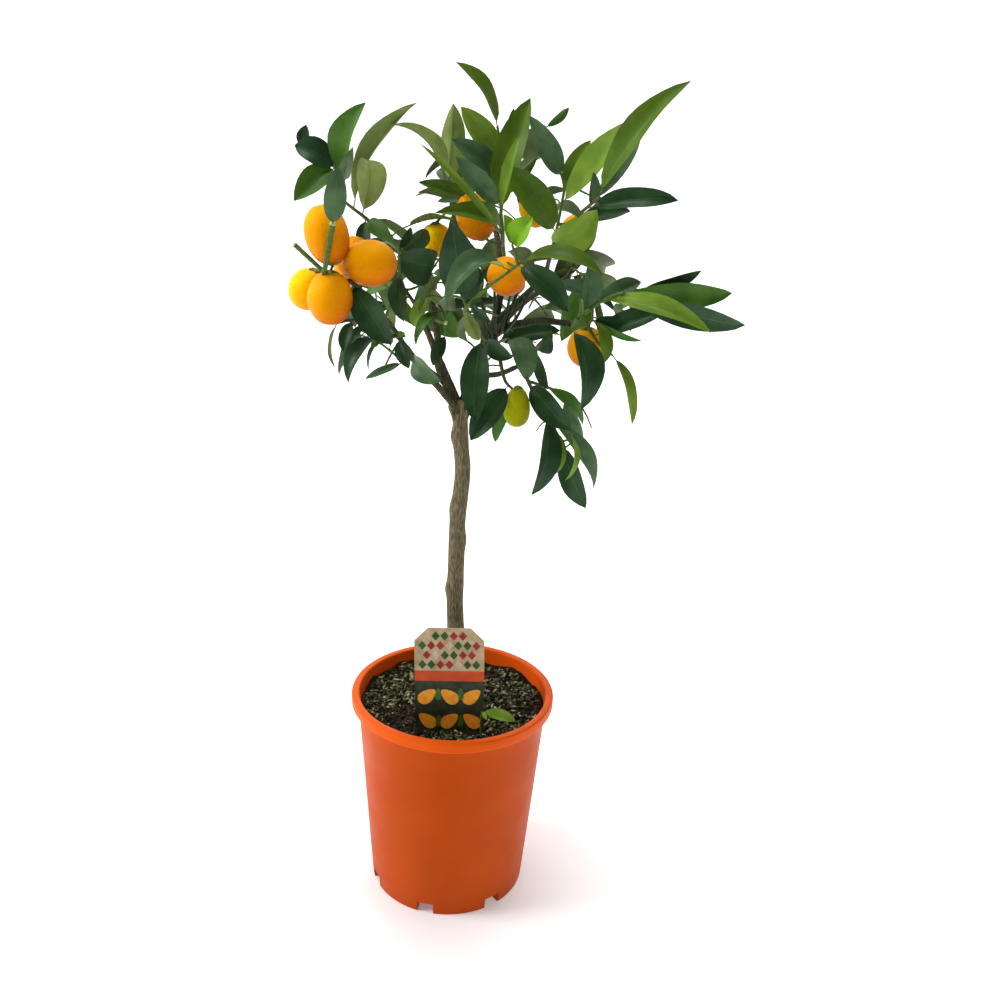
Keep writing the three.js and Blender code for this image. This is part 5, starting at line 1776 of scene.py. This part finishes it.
def build_stage():
    """A pale floor that curves up behind the pot."""
    section = []
    for k in range(FLOOR_STEPS + 1):
        share = k / FLOOR_STEPS
        if share < 0.5:
            section.append((mix(FLOOR_FRONT, FLOOR_BEND, share / 0.5), 0))
        else:
            angle = (share - 0.5) * math.pi
            section.append((FLOOR_BEND + FLOOR_CURVE * math.sin(angle), FLOOR_CURVE * (1 - math.cos(angle))))
    section.append((FLOOR_BEND + FLOOR_CURVE, FLOOR_TOP))
    shape = bmesh.new()
    rows = [[shape.verts.new((x, y, z)) for x in (-FLOOR_HALF_WIDTH, FLOOR_HALF_WIDTH)] for y, z in section]
    for low, high in zip(rows, rows[1:]):
        shape.faces.new((low[0], low[1], high[1], high[0]))
    floor = object_from_shape("studio_floor", shape)
    set_smooth(floor.data)
    material, tree, shader = new_material("studio_paper", (0.93, 0.93, 0.93), 0.9, 0.1)
    set_inputs(shader, {"Emission Color": (1, 1, 1, 1)})
    add_glow(tree, shader)
    floor.data.materials.append(material)


def add_light(name, place, size, power):
    data = bpy.data.lights.new(name, "AREA")
    data.shape = "DISK"
    data.size = size
    data.energy = power
    light = new_object(name, data)
    light.location = place
    way = Vector(LIT_POINT) - Vector(place)
    light.rotation_euler = way.to_track_quat("-Z", "Y").to_euler()


def build_lights():
    for light in LIGHTS:
        add_light(*light)
    world = bpy.data.worlds.new("studio")
    world.use_nodes = True
    set_inputs(world.node_tree.nodes["Background"], {"Color": (1, 1, 1, 1), "Strength": WORLD_STRENGTH})
    bpy.context.scene.world = world


def build_camera():
    data = bpy.data.cameras.new("camera")
    data.sensor_width = SENSOR_WIDTH
    data.lens = SENSOR_WIDTH * FOCAL_PIXELS / IMAGE_SIDE
    pitch = math.radians(CAMERA_PITCH)
    roll = math.radians(CAMERA_ROLL)
    forward = Vector((0, math.cos(pitch), -math.sin(pitch)))
    up = EAST.cross(forward)
    right = EAST * math.cos(roll) + up * math.sin(roll)
    up = up * math.cos(roll) - EAST * math.sin(roll)
    camera = new_object("camera", data)
    turn = Matrix((right, up, -forward)).transposed().to_4x4()
    camera.matrix_world = Matrix.Translation(Vector(CAMERA_PLACE) * MM) @ turn
    bpy.context.scene.camera = camera


def main():
    bpy.context.scene.view_settings.view_transform = "Standard"
    build_camera()
    build_stage()
    build_lights()
    build_trunk()
    build_boughs("bark_boughs", "bough_bark", tuple(name for name in BOUGHS if name not in DARK_BOUGHS))
    # Boughs in the crown's shade get the darker bark of painted shade
    build_boughs("bark_young_boughs_in_shade", "young_bark_in_shade", DARK_BOUGHS)
    build_pot()
    build_soil()
    build_soil_litter()
    build_label()
    build_crown(grow_crown())


main()
